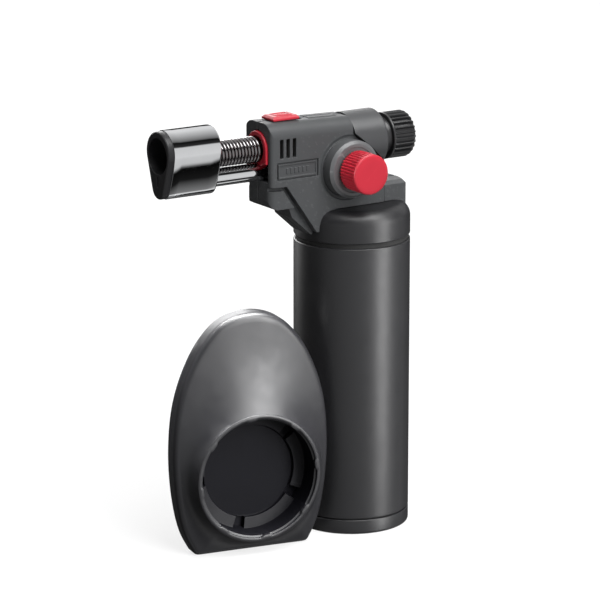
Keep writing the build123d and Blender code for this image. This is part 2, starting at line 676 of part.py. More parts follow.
TAB_Z0 = HEAD_Z1 + 0.15
with BuildPart() as air_slider:
    add(rod_x(SLIDER_R, SLIDER_X0, SLIDER_X1, BURNER_Z))
    # legs of the arched front ring
    add(block_between((SLIDER_X0, -SLIDER_R, 137.9), (-37.5, SLIDER_R, BURNER_Z)))
    fillet(air_slider.edges().group_by(Axis.X)[0], 0.5)
    # neck through the roof and the tab on it
    add(block_between((-34.8, -STEM_HALF, BURNER_Z), (-27.4, STEM_HALF, TAB_Z0)))
    add(block_between((TAB_X0, -TAB_HALF, TAB_Z0), (TAB_X1, TAB_HALF, TAB_Z1)))
    chamfer(air_slider.edges().group_by(Axis.Z)[-1], 0.8)
    add(rod_x(SLEEVE_BORE_R, SLIDER_X0, SLIDER_X1, BURNER_Z), mode=Mode.SUBTRACT)
    # saddle over the conduit tube
    add(rod_x(CONDUIT_R + GAP, SLIDER_X0, SLIDER_X1, CONDUIT_Z), mode=Mode.SUBTRACT)
    # air windows in the sleeve, in line with the head's slots at rest
    for x in SLOT_X:
        add(block_between((x - SLOT_W / 2, -20, BURNER_Z - 3), (x + SLOT_W / 2, 20, BURNER_Z + 3)),
            mode=Mode.SUBTRACT)
    # raised frame round an arrow head
    tab_x = (TAB_X0 + TAB_X1) / 2
    with BuildSketch(Plane.XY.offset(TAB_Z1)):
        with Locations((tab_x, 0)):
            Rectangle(6.4, 4.6)
            Rectangle(5.2, 3.4, mode=Mode.SUBTRACT)
        with BuildLine():
            Polyline((tab_x - 1.6, 0), (tab_x + 1.2, 1.2), (tab_x + 1.2, -1.2), close=True)
        make_face()
    extrude(amount=0.3)
finish(air_slider.part, "air_slider")

# ---------------------------------------------------------------- muzzle
with BuildPart() as muzzle_guard:
    add(pear(GUARD_X0, GUARD_X1, 0))
    fillet(muzzle_guard.edges().group_by(Axis.X)[-1], 0.8)
    add(pear(GUARD_X0, GUARD_X1 - 1.0, GUARD_WALL), mode=Mode.SUBTRACT)
    add(rod_x(TUBE_R, GUARD_X1 - 2, GUARD_X1 + 1, BURNER_Z), mode=Mode.SUBTRACT)
    add(rod_x(CONDUIT_R, GUARD_X1 - 2, GUARD_X1 + 1, CONDUIT_Z), mode=Mode.SUBTRACT)
finish(muzzle_guard.part, "muzzle_guard")

with BuildPart() as muzzle_insert:
    add(pear(INSERT_X0, GUARD_X0, 0.25))
    fillet(muzzle_insert.edges().group_by(Axis.X)[0], 0.7)
    add(pear(GUARD_X0, INSERT_X1, GUARD_WALL))
    add(rod_x(MOUTH_R, INSERT_X0, INSERT_X1, MUZZLE_Z), mode=Mode.SUBTRACT)
    add(block_between((INSERT_X0, -0.4, 133.6), (INSERT_X1, 0.4, 137.6)), mode=Mode.SUBTRACT)
finish(muzzle_insert.part, "muzzle_insert")

with BuildPart() as flame_holder:
    add(rod_x(6.3, INSERT_X1, INSERT_X1 + 1.4, MUZZLE_Z))
    add(rod_x(2.0, INSERT_X1, INSERT_X1 + 0.8, BURNER_Z), mode=Mode.SUBTRACT)
    with BuildSketch(Plane.YZ.offset(INSERT_X1 - 1)):
        with Locations((0, MUZZLE_Z)):
            with PolarLocations(4.9, 8):
                Circle(0.7)
    extrude(amount=4, mode=Mode.SUBTRACT)
    add(rod_x(TUBE_R, BURNER_X0, BURNER_X0 + 10, BURNER_Z), mode=Mode.SUBTRACT)
finish(flame_holder.part, "flame_holder")

# ---------------------------------------------------------------- spark electrode and its wire
PIN_R = 0.3
PIN_Z = 134.6
with BuildPart() as electrode:
    with BuildLine() as pin_line:
        FilletPolyline((-62.0, 0, PIN_Z), (-77.5, 0, PIN_Z), (-77.5, 0, 137.2), radius=0.8)
    with BuildSketch(Plane(pin_line.line @ 0, z_dir=pin_line.line % 0)):
        Circle(PIN_R)
    sweep()
finish(electrode.part, "electrode")

with BuildPart() as electrode_insulator:
    add(rod_x(1.3, INSERT_X1 + 0.3, -61.5, PIN_Z, bore=PIN_R))
finish(electrode_insulator.part, "electrode_insulator")

with BuildPart() as ignition_wire:
    with BuildLine() as wire_line:
        Spline((-61.4, 0, PIN_Z), (-48, 0, CONDUIT_Z), (-33.0, 0.4, CONDUIT_Z - 0.4),
               (-26.2, 4.4, 133.8), (-21.0, 5.2, 136.4), (-18.6, 2.4, 141.0),
               tangents=((1, 0, 0), (1, 0, 0.2)))
    with BuildSketch(Plane(wire_line.line @ 0, z_dir=wire_line.line % 0)):
        Circle(0.6)
    sweep()
finish(ignition_wire.part, "ignition_wire")

# ---------------------------------------------------------------- table stand
# It stands on its straight edge beside the tank. It is drawn about its own middle, with depth
# measured from the open back, and turned and moved into place at the end.
EDGE_DEPTH = STAND_SIDE
RIM_DEPTH = STAND_SIDE + STAND_RISE
RIGHT_SIDE = (
    (25.5, 8.0), (28.3, 20.5), (29.4, 37.5), (27.9, 54.0), (24.0, 66.5), (18.0, 77.3), (10.5, 84.4),
)


def stand_outline(depth, shrink):
    """The egg-shaped outline, pulled in by a margin, at a depth from the open back."""
    right = [(STAND_FOOT_HALF, shrink)]
    for x, z in RIGHT_SIDE:
        steep = z / STAND_H
        right.append((x - shrink * (1 - 0.5 * steep**3), z - shrink * steep**3))
    left = [(-x, z) for x, z in reversed(right)]
    points = [*right, (0, STAND_H - shrink), *left]
    with BuildSketch(Plane.XZ.offset(depth)) as outline:
        with BuildLine():
            Spline(*points)
            Line(points[-1], points[0])
        make_face()
    return outline.sketch


def socket_disc(depth, radius):
    """A round face on the socket's axis."""
    with BuildSketch(Plane.XZ.offset(depth)) as disc:
        with Locations((0, SOCKET_Z)):
            Circle(radius)
    return disc.sketch


with BuildPart() as stand_dome:
    loft([stand_outline(EDGE_DEPTH, 0), socket_disc(RIM_DEPTH, RIM_R)])
with BuildPart() as stand_hollow:
    loft([stand_outline(EDGE_DEPTH, STAND_WALL),
          socket_disc(RIM_DEPTH - STAND_WALL, RIM_R - STAND_WALL)])

LEDGE_DEPTH = RIM_DEPTH - SOCKET_DEEP
WELL_R = 17.0
WELL_DEEP = 1.5
CUP_FLOOR = 1.6
LEDGE_SLOTS = 5
LEDGE_SLOT_W = 3.5
LEDGE_SLOT_START = 42.0
with BuildPart() as stand_base:
    extrude(stand_outline(0, 0), amount=EDGE_DEPTH)
    add(stand_dome.part)
    # open underside
    extrude(stand_outline(0, STAND_WALL), amount=EDGE_DEPTH, mode=Mode.SUBTRACT)
    add(stand_hollow.part, mode=Mode.SUBTRACT)
    # socket cup with a ledge for the tank's foot and a well in the middle
    cup_back = LEDGE_DEPTH - WELL_DEEP - CUP_FLOOR
    add(rod_y(RIM_R, -cup_back, -RIM_DEPTH, 0, SOCKET_Z))
    add(rod_y(SOCKET_R, -LEDGE_DEPTH, -RIM_DEPTH, 0, SOCKET_Z), mode=Mode.SUBTRACT)
    add(rod_y(WELL_R, -(LEDGE_DEPTH - WELL_DEEP), -RIM_DEPTH, 0, SOCKET_Z), mode=Mode.SUBTRACT)
    # widened mouth with small lugs that grip the tank's foot
    add(rod_y(LIP_R, LIP_DEEP - RIM_DEPTH, -RIM_DEPTH, 0, SOCKET_Z), mode=Mode.SUBTRACT)
    with BuildSketch(Plane.XZ.offset(RIM_DEPTH - LIP_DEEP)):
        with Locations((0, SOCKET_Z)):
            with PolarLocations((SOCKET_R + LIP_R) / 2 + 0.2, LUGS, start_angle=LUG_START):
                Rectangle(LIP_R - SOCKET_R + 0.4, LUG_W)
    extrude(amount=LIP_DEEP)
    # slots across the ledge
    with BuildSketch(Plane.XZ.offset(LEDGE_DEPTH - WELL_DEEP)):
        with Locations((0, SOCKET_Z)):
            with PolarLocations((WELL_R + SOCKET_R) / 2 - 0.2, LEDGE_SLOTS,
                                start_angle=LEDGE_SLOT_START):
                Rectangle(SOCKET_R - WELL_R + 0.4, LEDGE_SLOT_W)
    extrude(amount=WELL_DEEP + 0.02, mode=Mode.SUBTRACT)
PLACED = Location((STAND_X, STAND_Y, 0), (0, 0, STAND_TURN))
finish(stand_base.part.moved(PLACED), "stand_base")
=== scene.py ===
"""Looks for the butane torch and its loose stand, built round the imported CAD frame.

Lengths in the helper calls are millimetres in the CAD frame; mm() turns them into metres.
"""

import json
import math

import bmesh
import bpy
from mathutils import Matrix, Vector


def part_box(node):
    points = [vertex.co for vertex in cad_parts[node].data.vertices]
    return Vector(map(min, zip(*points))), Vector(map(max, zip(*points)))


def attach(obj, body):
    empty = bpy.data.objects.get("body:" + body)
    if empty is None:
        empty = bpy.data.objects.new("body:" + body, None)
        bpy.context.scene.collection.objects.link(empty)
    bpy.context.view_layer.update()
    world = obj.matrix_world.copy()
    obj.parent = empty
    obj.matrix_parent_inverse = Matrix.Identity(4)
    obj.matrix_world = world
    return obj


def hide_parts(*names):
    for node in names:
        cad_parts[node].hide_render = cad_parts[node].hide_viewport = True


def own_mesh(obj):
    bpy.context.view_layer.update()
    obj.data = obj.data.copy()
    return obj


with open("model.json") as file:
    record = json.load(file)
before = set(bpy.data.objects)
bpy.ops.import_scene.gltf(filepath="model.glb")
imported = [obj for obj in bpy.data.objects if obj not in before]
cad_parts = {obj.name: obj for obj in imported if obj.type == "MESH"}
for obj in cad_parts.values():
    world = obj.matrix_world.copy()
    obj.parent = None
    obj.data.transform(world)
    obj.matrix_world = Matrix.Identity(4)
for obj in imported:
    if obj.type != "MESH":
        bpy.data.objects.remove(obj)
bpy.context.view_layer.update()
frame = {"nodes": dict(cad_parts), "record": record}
MM = 0.001
WELD = 1e-7    # points closer than this, in metres, are one point


def mm(*values):
    """A vector given in millimetres."""
    return Vector(values) * MM


def span(node):
    """The lowest and highest corner of a CAD node, in millimetres."""
    low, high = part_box(node)
    return low / MM, high / MM


# ------------------------------------------------------------------ mesh helpers
def new_piece(name, vertices, faces, material, smooth_angle=35.0):
    """A mesh object from vertices in millimetres, shaded smooth up to an angle."""
    mesh = bpy.data.meshes.new(name)
    mesh.from_pydata([Vector(v) * MM for v in vertices], [], faces)
    mesh.validate()
    tidy = bmesh.new()
    tidy.from_mesh(mesh)
    bmesh.ops.remove_doubles(tidy, verts=tidy.verts, dist=WELD)
    bmesh.ops.recalc_face_normals(tidy, faces=tidy.faces)
    tidy.to_mesh(mesh)
    tidy.free()
    mesh.materials.append(material)
    piece = bpy.data.objects.new(name, mesh)
    bpy.context.scene.collection.objects.link(piece)
    shade(piece, smooth_angle)
    return piece


def shade(piece, angle):
    """Smooth shading, with edges sharper than the angle kept crisp."""
    mesh = piece.data
    for polygon in mesh.polygons:
        polygon.use_smooth = True
    work = bmesh.new()
    work.from_mesh(mesh)
    limit = math.radians(angle)
    sharp = [e.index for e in work.edges if len(e.link_faces) == 2 and e.calc_face_angle(0) > limit]
    work.free()
    for index in sharp:
        mesh.edges[index].use_edge_sharp = True


def rounded(corners, steps=6):
    """A closed profile from (a, b, radius) corners, each rounded by its radius."""
    points = []
    count = len(corners)
    for i, (a, b, radius) in enumerate(corners):
        here = Vector((a, b))
        if radius <= 0:
            points.append((a, b))
            continue
        back = (Vector(corners[i - 1][:2]) - here).normalized()
        ahead = (Vector(corners[(i + 1) % count][:2]) - here).normalized()
        half = back.angle(ahead) / 2
        reach = radius / math.tan(half)
        middle = here + (back + ahead).normalized() * (radius / math.sin(half))
        first = here + back * reach - middle
        last = here + ahead * reach - middle
        turn = first.angle_signed(last)
        for k in range(steps + 1):
            a_k = turn * k / steps
            c, s = math.cos(-a_k), math.sin(-a_k)
            points.append((middle.x + c * first.x - s * first.y, middle.y + s * first.x + c * first.y))
    return points


AXES = {
    "Z": lambda c, r, t, h: (c[0] + r * math.cos(t), c[1] + r * math.sin(t), h),
    "X": lambda c, r, t, h: (h, c[0] + r * math.cos(t), c[1] + r * math.sin(t)),
    "Y": lambda c, r, t, h: (c[0] + r * math.cos(t), h, c[1] + r * math.sin(t)),
}


def lathe(name, profile, material, axis="Z", centre=(0.0, 0.0), steps=160, closed=True, wave=None):
    """Turns a profile of (radius, height) points about an axis.

    centre is the axis's place in the other two coordinates. wave(angle, radius, height) may change
    the radius, for ribs.
    """
    place = AXES[axis]
    vertices, faces = [], []
    count = len(profile)
    for i in range(steps):
        t = 2 * math.pi * i / steps
        for radius, height in profile:
            r = wave(t, radius, height) if wave else radius
            vertices.append(place(centre, r, t, height))
    spans = count if closed else count - 1
    for i in range(steps):
        here, there = i * count, ((i + 1) % steps) * count
        for j in range(spans):
            k = (j + 1) % count
            faces.append((here + j, there + j, there + k, here + k))
    return new_piece(name, vertices, faces, material)


def groove(angle, count, half, gain):
    """How deep the grooves between ribs are at an angle: 0 on a rib, 1 along a groove's floor.

    half is the groove's half width as a share of the pitch; gain above 1 flattens its floor.
    """
    phase = (angle * count / (2 * math.pi)) % 1.0
    return min(1.0, max(0.0, 1.0 - abs(phase - 0.5) / half) * gain)


def climb(value, start, length):
    """0 up to start, rising evenly to 1 at start + length."""
    return min(1.0, max(0.0, (value - start) / length))


def loft(name, rings, material, closed_loop=False, caps=True, smooth_angle=35.0):
    """Joins rings of equal point counts; the ends are capped, or joined to each other."""
    size = len(rings[0])
    vertices = [p for ring in rings for p in ring]
    faces = []
    spans = len(rings) if closed_loop else len(rings) - 1
    for j in range(spans):
        a, b = j * size, ((j + 1) % len(rings)) * size
        for i in range(size):
            k = (i + 1) % size
            faces.append((a + i, a + k, b + k, b + i))
    if caps and not closed_loop:
        faces.append(tuple(range(size)))
        faces.append(tuple(range(len(vertices) - size, len(vertices))))
    return new_piece(name, vertices, faces, material, smooth_angle)


def ease_edges(piece, voxel, passes):
    """Adds a voxel remesh, voxel in millimetres, and a smoothing that rounds its edges."""
    solid = piece.modifiers.new("solid", "REMESH")
    solid.mode = "VOXEL"
    solid.voxel_size = voxel * MM
    ease = piece.modifiers.new("ease", "SMOOTH")
    ease.factor = 0.5
    ease.iterations = passes


def recast(node, name, material, voxel, keep=0.4, passes=3):
    """A copy of a CAD node's shape with its edges rounded off like a real moulding.

    voxel is the remesh's cell in millimetres, and keep the share of its faces that is kept.
    """
    mesh = frame["nodes"][node].data.copy()
    piece = bpy.data.objects.new(name, mesh)
    bpy.context.scene.collection.objects.link(piece)
    weld = piece.modifiers.new("weld", "WELD")
    weld.merge_threshold = 10 * WELD
    ease_edges(piece, voxel, passes)
    thin = piece.modifiers.new("thin", "DECIMATE")
    thin.ratio = keep
    bake(piece)
    piece.data.materials.clear()
    piece.data.materials.append(material)
    for polygon in piece.data.polygons:
        polygon.use_smooth = True
        polygon.material_index = 0
    return piece


def score_seam(piece, width, depth):
    """Sinks a narrow groove along the middle plane, where the two halves of the head meet."""
    moves = []
    for vertex in piece.data.vertices:
        near = max(0.0, 1.0 - abs(vertex.co.y) / (width * MM))
        out = Vector((vertex.normal.x, 0.0, vertex.normal.z))
        moves.append(out * (-depth * MM * near))
    for vertex, move in zip(piece.data.vertices, moves):
        vertex.co += move
    return piece


def bake(piece):
    """Applies a piece's modifiers."""
    bpy.context.view_layer.update()
    graph = bpy.context.evaluated_depsgraph_get()
    finished = bpy.data.meshes.new_from_object(piece.evaluated_get(graph))
    piece.modifiers.clear()
    piece.data = finished


def dress(node, material):
    """Gives a carried-over CAD node its procedural material."""
    piece = frame["nodes"][node]
    piece.data.materials.clear()
    piece.data.materials.append(material)
    for polygon in piece.data.polygons:
        polygon.material_index = 0
        polygon.use_smooth = True
    return piece


def stand_for(piece, body, slot, *nodes):
    """A finished piece rides on its body and hides the CAD nodes it stands for; slot is not used."""
    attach(piece, body)
    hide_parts(*nodes)
    return piece


# ------------------------------------------------------------------ materials
def node_tree(name):
    """A new node material: the material, its tree and its Principled shader."""
    material = bpy.data.materials.new(name)
    material.use_nodes = True
    return material, material.node_tree, material.node_tree.nodes["Principled BSDF"]


def add(tree, kind, **settings):
    """A shader node with its settings and its unlinked input values."""
    node = tree.nodes.new(kind)
    inputs = settings.pop("inputs", {})
    for key, value in settings.items():
        setattr(node, key, value)
    for key, value in inputs.items():
        node.inputs[key].default_value = value
    return node


def noise(tree, size_mm, detail=3.0, roughness=0.55, stretch=None):
    """A noise texture whose features are about size_mm across."""
    coordinate = add(tree, "ShaderNodeTexCoord")
    source = coordinate.outputs["Object"]
    if stretch:
        mapping = add(tree, "ShaderNodeMapping", inputs={"Scale": stretch})
        tree.links.new(source, mapping.inputs["Vector"])
        source = mapping.outputs["Vector"]
    texture = add(tree, "ShaderNodeTexNoise",
                  inputs={"Scale": 1.0 / (size_mm * MM), "Detail": detail, "Roughness": roughness})
    tree.links.new(source, texture.inputs["Vector"])
    return texture.outputs["Fac"]


def spread(tree, source, low, high):
    """Maps a 0..1 value to low..high."""
    ramp = add(tree, "ShaderNodeMapRange",
               inputs={"From Min": 0.3, "From Max": 0.7, "To Min": low, "To Max": high})
    tree.links.new(source, ramp.inputs["Value"])
    return ramp.outputs["Result"]


def mixed_color(tree, factor, color_a, color_b):
    """A colour between two, by a factor."""
    mix = add(tree, "ShaderNodeMix", data_type="RGBA")
    mix.inputs["A"].default_value = (*color_a, 1)
    mix.inputs["B"].default_value = (*color_b, 1)
    tree.links.new(factor, mix.inputs["Factor"])
    return mix.outputs["Result"]


def bumps(tree, shader, layers):
    """Chains bump layers of (height source, depth in mm, strength)."""
    previous = None
    for height, depth, strength in layers:
        bump = add(tree, "ShaderNodeBump", inputs={"Distance": depth * MM, "Strength": strength})
        tree.links.new(height, bump.inputs["Height"])
        if previous:
            tree.links.new(previous, bump.inputs["Normal"])
        previous = bump.outputs["Normal"]
    tree.links.new(previous, shader.inputs["Normal"])


# How far a surface must stick out to begin to be lightened by wear and a painted highlight, and to be
# fully lightened. A flat one has 0.5.
WEAR_AND_HIGHLIGHT = (0.55, 0.66)


def worn_and_lit_edges(tree, base, light, amount):
    """Lightens a colour along sharp edges: partly wear where handling polishes it, partly a painted
    highlight where edges would catch the light.
    """
    geometry = add(tree, "ShaderNodeNewGeometry")
    edge = add(tree, "ShaderNodeMapRange",
               inputs={"From Min": WEAR_AND_HIGHLIGHT[0], "From Max": WEAR_AND_HIGHLIGHT[1], "To Min": 0.0, "To Max": amount})
    tree.links.new(geometry.outputs["Pointiness"], edge.inputs["Value"])
    mix = add(tree, "ShaderNodeMix", data_type="RGBA")
    tree.links.new(edge.outputs["Result"], mix.inputs["Factor"])
    tree.links.new(base, mix.inputs["A"])
    mix.inputs["B"].default_value = (*light, 1)
    return mix.outputs["Result"]


def moulded(name, color, rough, grain=0.35, grain_depth=0.012, shift=0.12, sheen=0.5, edge=0.25):
    """Moulded plastic: fine spark-eroded grain, faint flow marks and edges lightened by wear and a
    painted highlight.
    """
    material, tree, shader = node_tree(name)
    dark = tuple(c * (1 - shift) for c in color)
    light = tuple(min(1.0, c * (1 + shift)) for c in color)
    flow = noise(tree, 14.0, 2.0)
    tone = mixed_color(tree, flow, dark, light)
    edge_color = tuple(min(1.0, c * 1.6 + 0.03) for c in color)
    tree.links.new(worn_and_lit_edges(tree, tone, edge_color, edge), shader.inputs["Base Color"])
    grain_height = noise(tree, grain, 4.0, 0.6)
    tree.links.new(spread(tree, noise(tree, 5.0, 3.0), rough * 0.9, rough * 1.12),
                   shader.inputs["Roughness"])
    shader.inputs["Specular IOR Level"].default_value = sheen
    bumps(tree, shader, [(grain_height, grain_depth, 0.6), (noise(tree, 9.0, 1.0), 0.02, 0.25)])
    return material


def painted(name, color, rough):
    """Satin paint over metal: a soft orange peel, dust nibs and a thin clear coat."""
    material, tree, shader = node_tree(name)
    tone = mixed_color(tree, noise(tree, 22.0, 2.0), tuple(c * 0.85 for c in color),
                       tuple(c * 1.2 for c in color))
    tree.links.new(tone, shader.inputs["Base Color"])
    tree.links.new(spread(tree, noise(tree, 7.0, 4.0), rough * 0.92, rough * 1.1),
                   shader.inputs["Roughness"])
    shader.inputs["Coat Weight"].default_value = 0.12
    shader.inputs["Coat Roughness"].default_value = 0.32
    bumps(tree, shader, [(noise(tree, 0.9, 2.0), 0.012, 0.5), (noise(tree, 0.15, 2.0), 0.003, 0.5)])
    return material


def metal(name, color, rough, grain=None, tint=None, scratch=0.25, size=1.0):
    """Bare metal: turning or drawing marks, smudges and an optional heat tint."""
    material, tree, shader = node_tree(name)
    shader.inputs["Metallic"].default_value = 1.0
    cloud = noise(tree, 6.0 * size, 3.0)
    other = tint or tuple(c * 0.86 for c in color)
    tree.links.new(mixed_color(tree, cloud, color, other), shader.inputs["Base Color"])
    smudge = noise(tree, 3.0 * size, 5.0, 0.65)
    tree.links.new(spread(tree, smudge, rough * 0.7, rough * 1.4), shader.inputs["Roughness"])
    marks = noise(tree, 0.5, 3.0, stretch=grain or (1, 1, 1))
    bumps(tree, shader, [(marks, 0.004, scratch)])
    return material


def soft_rubber(name, color):
    """Matte rubber with a bloom."""
    return moulded(name, color, 0.75, grain=0.2, grain_depth=0.01, shift=0.25, sheen=0.25, edge=0.1)


def ceramic_glaze(name):
    """Glazed ceramic with faint specks."""
    material, tree, shader = node_tree(name)
    tone = mixed_color(tree, noise(tree, 0.6, 5.0, 0.7), (0.80, 0.77, 0.70), (0.88, 0.86, 0.82))
    tree.links.new(tone, shader.inputs["Base Color"])
    tree.links.new(spread(tree, noise(tree, 2.0), 0.12, 0.2), shader.inputs["Roughness"])
    bumps(tree, shader, [(noise(tree, 1.5), 0.01, 0.3)])
    return material


def felt(name):
    """Felted wick: tangled fibres along the tube."""
    material, tree, shader = node_tree(name)
    fibres = noise(tree, 0.4, 6.0, 0.8, stretch=(3, 3, 0.5))
    tree.links.new(mixed_color(tree, fibres, (0.55, 0.52, 0.45), (0.80, 0.78, 0.72)),
                   shader.inputs["Base Color"])
    shader.inputs["Roughness"].default_value = 0.95
    shader.inputs["Sheen Weight"].default_value = 0.4
    bumps(tree, shader, [(fibres, 0.08, 0.9)])
    return material


TANK_PAINT = painted("tank_paint", (0.007, 0.007, 0.008), 0.42)
HEAD_PLASTIC = moulded("charcoal_plastic", (0.043, 0.045, 0.047), 0.50, sheen=0.45, edge=0.3)
# a lighter copy of the charcoal plastic: painted light on the boss face that the knob shades, and with
# edge 1.0 a painted highlight on its bevel
BOSS_LIT_PLASTIC = moulded("boss_painted_light_plastic", (0.078, 0.080, 0.083), 0.42, sheen=0.8, edge=1.0)
BLACK_PLASTIC = moulded("black_plastic", (0.007, 0.007, 0.008), 0.40, shift=0.2)
# darker copies of the stand plastic for the socket's inside: painted shade in the recess, darkest in the
# well and slots, less on the ledge
SOCKET_SHADED_PLASTIC = moulded("socket_painted_shade_plastic", (0.003, 0.003, 0.004), 0.50, grain=0.4, sheen=0.06)
LEDGE_SHADED_PLASTIC = moulded("ledge_painted_shade_plastic", (0.005, 0.005, 0.006), 0.48, grain=0.4, sheen=0.12)
STAND_PLASTIC = moulded("stand_plastic", (0.006, 0.006, 0.007), 0.38, grain=0.5, grain_depth=0.008,
                        shift=0.15, sheen=0.4)
RED_PLASTIC = moulded("red_plastic", (0.35, 0.011, 0.024), 0.38, grain=0.4, grain_depth=0.006,
                      shift=0.07, edge=0.35)
KNOB_PLASTIC = moulded("knob_plastic", (0.30, 0.009, 0.020), 0.36, grain=0.4, grain_depth=0.006,
                       shift=0.07, edge=0.35)
# edge 1.0 lightens the rib tips strongly: wear and a painted highlight
BUTTON_PLASTIC = moulded("button_plastic", (0.010, 0.010, 0.011), 0.38, sheen=0.8, edge=1.0)
COVER_PLASTIC = moulded("cover_plastic", (0.028, 0.029, 0.031), 0.42, sheen=0.9, edge=0.3)
WHITE_PLASTIC = moulded("white_plastic", (0.78, 0.78, 0.74), 0.4, shift=0.04, edge=0.1)
CHROME = metal("mirror_chrome", (0.86, 0.87, 0.88), 0.045, scratch=0.04, tint=(0.80, 0.81, 0.83))
DARK_STEEL = metal("heated_steel", (0.30, 0.30, 0.31), 0.20, tint=(0.20, 0.18, 0.17), size=0.4)
PLAIN_STEEL = metal("drawn_steel", (0.58, 0.59, 0.60), 0.28, grain=(1, 1, 0.1))
BRASS = metal("turned_brass", (0.72, 0.52, 0.22), 0.24, grain=(1, 1, 6), tint=(0.60, 0.42, 0.18))
INSERT_COAT = painted("burner_coating", (0.006, 0.006, 0.007), 0.5)
RUBBER = soft_rubber("seal_rubber", (0.012, 0.012, 0.012))
WIRE_SLEEVE = soft_rubber("wire_sleeve", (0.30, 0.02, 0.02))
CERAMIC = ceramic_glaze("glazed_ceramic")
FELT = felt("wick_felt")


# ------------------------------------------------------------------ tank
SLEEVE_WALL = 1.0
FOOT_HOLE_R = 8.0        # the filling valve's opening in the foot ring
FOOT_LEDGE = 3.0         # width of its inner bearing ring; the outer one is 0.4 wider
FOOT_RECESS = 0.5        # depth of the channel between them
NECK_R = 7.0
SHOULDER_ROUND = 5.0
TANK_STEPS = 192


def build_tank():
    """Sleeve, foot ring and shoulder as turned shells with rolled edges."""
    low, high = span("tank_sleeve")
    outer = high.x
    inner = outer - SLEEVE_WALL
    sleeve = rounded([(outer, low.z, 0.35), (outer, high.z, 0.35), (inner, high.z, 0.2),
                      (inner, low.z, 0.2)])
    stand_for(lathe("tank_sleeve_shell", sleeve, TANK_PAINT, steps=TANK_STEPS), "torch",
              "black_paint", "tank_sleeve")
    low, high = span("tank_base_ring")
    hole, channel = FOOT_HOLE_R, low.z + FOOT_RECESS
    ring = rounded([(outer, low.z, 1.0), (outer, high.z, 0.5), (hole, high.z, 0.3),
                    (hole, low.z, 0.8), (hole + FOOT_LEDGE, low.z, 0.3),
                    (hole + FOOT_LEDGE + 0.6, channel, 0.3),
                    (outer - FOOT_LEDGE - 1.0, channel, 0.3), (outer - FOOT_LEDGE - 0.4, low.z, 0.3)])
    stand_for(lathe("foot_ring_shell", ring, BLACK_PLASTIC, steps=TANK_STEPS), "torch",
              "black_plastic", "tank_base_ring")
    low, high = span("tank_shoulder")
    cap = rounded([(outer, low.z, 0.4), (outer, high.z, SHOULDER_ROUND), (NECK_R, high.z, 0.2),
                   (NECK_R, low.z, 0.2)], steps=14)
    stand_for(lathe("shoulder_shell", cap, BLACK_PLASTIC, steps=TANK_STEPS), "torch",
              "black_plastic", "tank_shoulder")
    for node in ("base_seal_ring", "shoulder_seal_ring", "fill_valve_seal", "outlet_valve_seal",
                 "spindle_seal"):
        dress(node, RUBBER)
    dress("fuel_tank", PLAIN_STEEL)
    dress("fuel_wick", FELT)
    for node in ("fill_valve_body", "fill_valve_stem", "outlet_valve_body", "valve_block",
                 "gland_nut", "flow_spindle", "gas_pipe", "gas_jet", "mixer_body"):
        dress(node, BRASS)
    dress("electrode", DARK_STEEL)
    build_springs()


# Return springs: the radius of the coil and of its wire, the turns and the travel it gives way.
PIEZO_SPRING = (3.2, 0.35, 5.5, 5.0)
VALVE_SPRING = (1.4, 0.22, 4.3, 1.5)


def build_springs():
    """The two hidden return springs."""
    low, high = span("piezo_spring")
    radius, wire, turns, travel = PIEZO_SPRING
    middle = ((low.y + high.y) / 2, (low.z + high.z) / 2)
    rings = helix(middle, radius, wire, low.x + wire, high.x - wire, turns)
    coil = loft("piezo_spring_wire", rings, DARK_STEEL)
    stand_for(coil, "torch", "spring_steel", "piezo_spring")
    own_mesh(coil)
    low, high = span("fill_valve_spring")
    radius, wire, turns, travel = VALVE_SPRING
    rings = [[(y, z, x) for x, y, z in ring]
             for ring in helix((0.0, 0.0), radius, wire, low.z + wire, high.z - wire, turns)]
    coil = loft("fill_valve_spring_wire", rings, DARK_STEEL)
    stand_for(coil, "torch", "spring_steel", "fill_valve_spring")
    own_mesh(coil)


# ------------------------------------------------------------------ head
SEAM_WIDTH = 0.45
SEAM_DEPTH = 0.4
COLLAR_X = 3.0           # length of the slider's red collar in front of the sleeve, whose black is painted shade
COLLAR_Z = 3.0           # height of its tab above the sleeve
PLATE_FRAME = 0.55       # width of the nameplate's raised frame
PLATE_RELIEF = 0.3       # how far frame and bars stand above the plate
PLATE_BARS = 6
BAR_PITCH = 1.7
BAR_HALF = (0.42, 0.95)  # half the width and half the height of a bar
MERGE = 0.1              # how far joined shapes reach into each other


def build_head():
    """Moulded shells with rounded edges, and what shows or hides between them."""
    for node in ("housing_left", "housing_right"):
        shell = recast(node, node + "_moulding", HEAD_PLASTIC, voxel=0.15, keep=0.5)
        stand_for(score_seam(shell, SEAM_WIDTH, SEAM_DEPTH), "torch", "charcoal_plastic", node)
    stand_for(recast("rear_cover", "rear_cover_moulding", COVER_PLASTIC, voxel=0.13),
              "torch", "charcoal_plastic", "rear_cover")
    build_slider()
    stand_for(recast("housing_screws", "screw_bodies", PLAIN_STEEL, voxel=0.07), "torch",
              "tank_steel", "housing_screws")
    dress("piezo_body", WHITE_PLASTIC)
    dress("piezo_plunger", WHITE_PLASTIC)
    dress("ignition_wire", WIRE_SLEEVE)
    dress("electrode_insulator", CERAMIC)
    dress("flame_holder", DARK_STEEL)
    build_nameplate()


def build_slider():
    """The red air slider; its sleeve inside the head is given black plastic, a painted shade for the
    dark seen through the vents.
    """
    low, high = span("air_slider")
    piece = recast("air_slider", "air_slider_moulding", RED_PLASTIC, voxel=0.11)
    piece.data.materials.append(BLACK_PLASTIC)
    # sleeve faces behind the vents: painted shade in black, though the moulding is red throughout
    for polygon in piece.data.polygons:
        place = polygon.center / MM
        if place.x > low.x + COLLAR_X and place.z < high.z - COLLAR_Z:
            polygon.material_index = 1
    stand_for(piece, "air_control", "red_plastic", "air_slider")


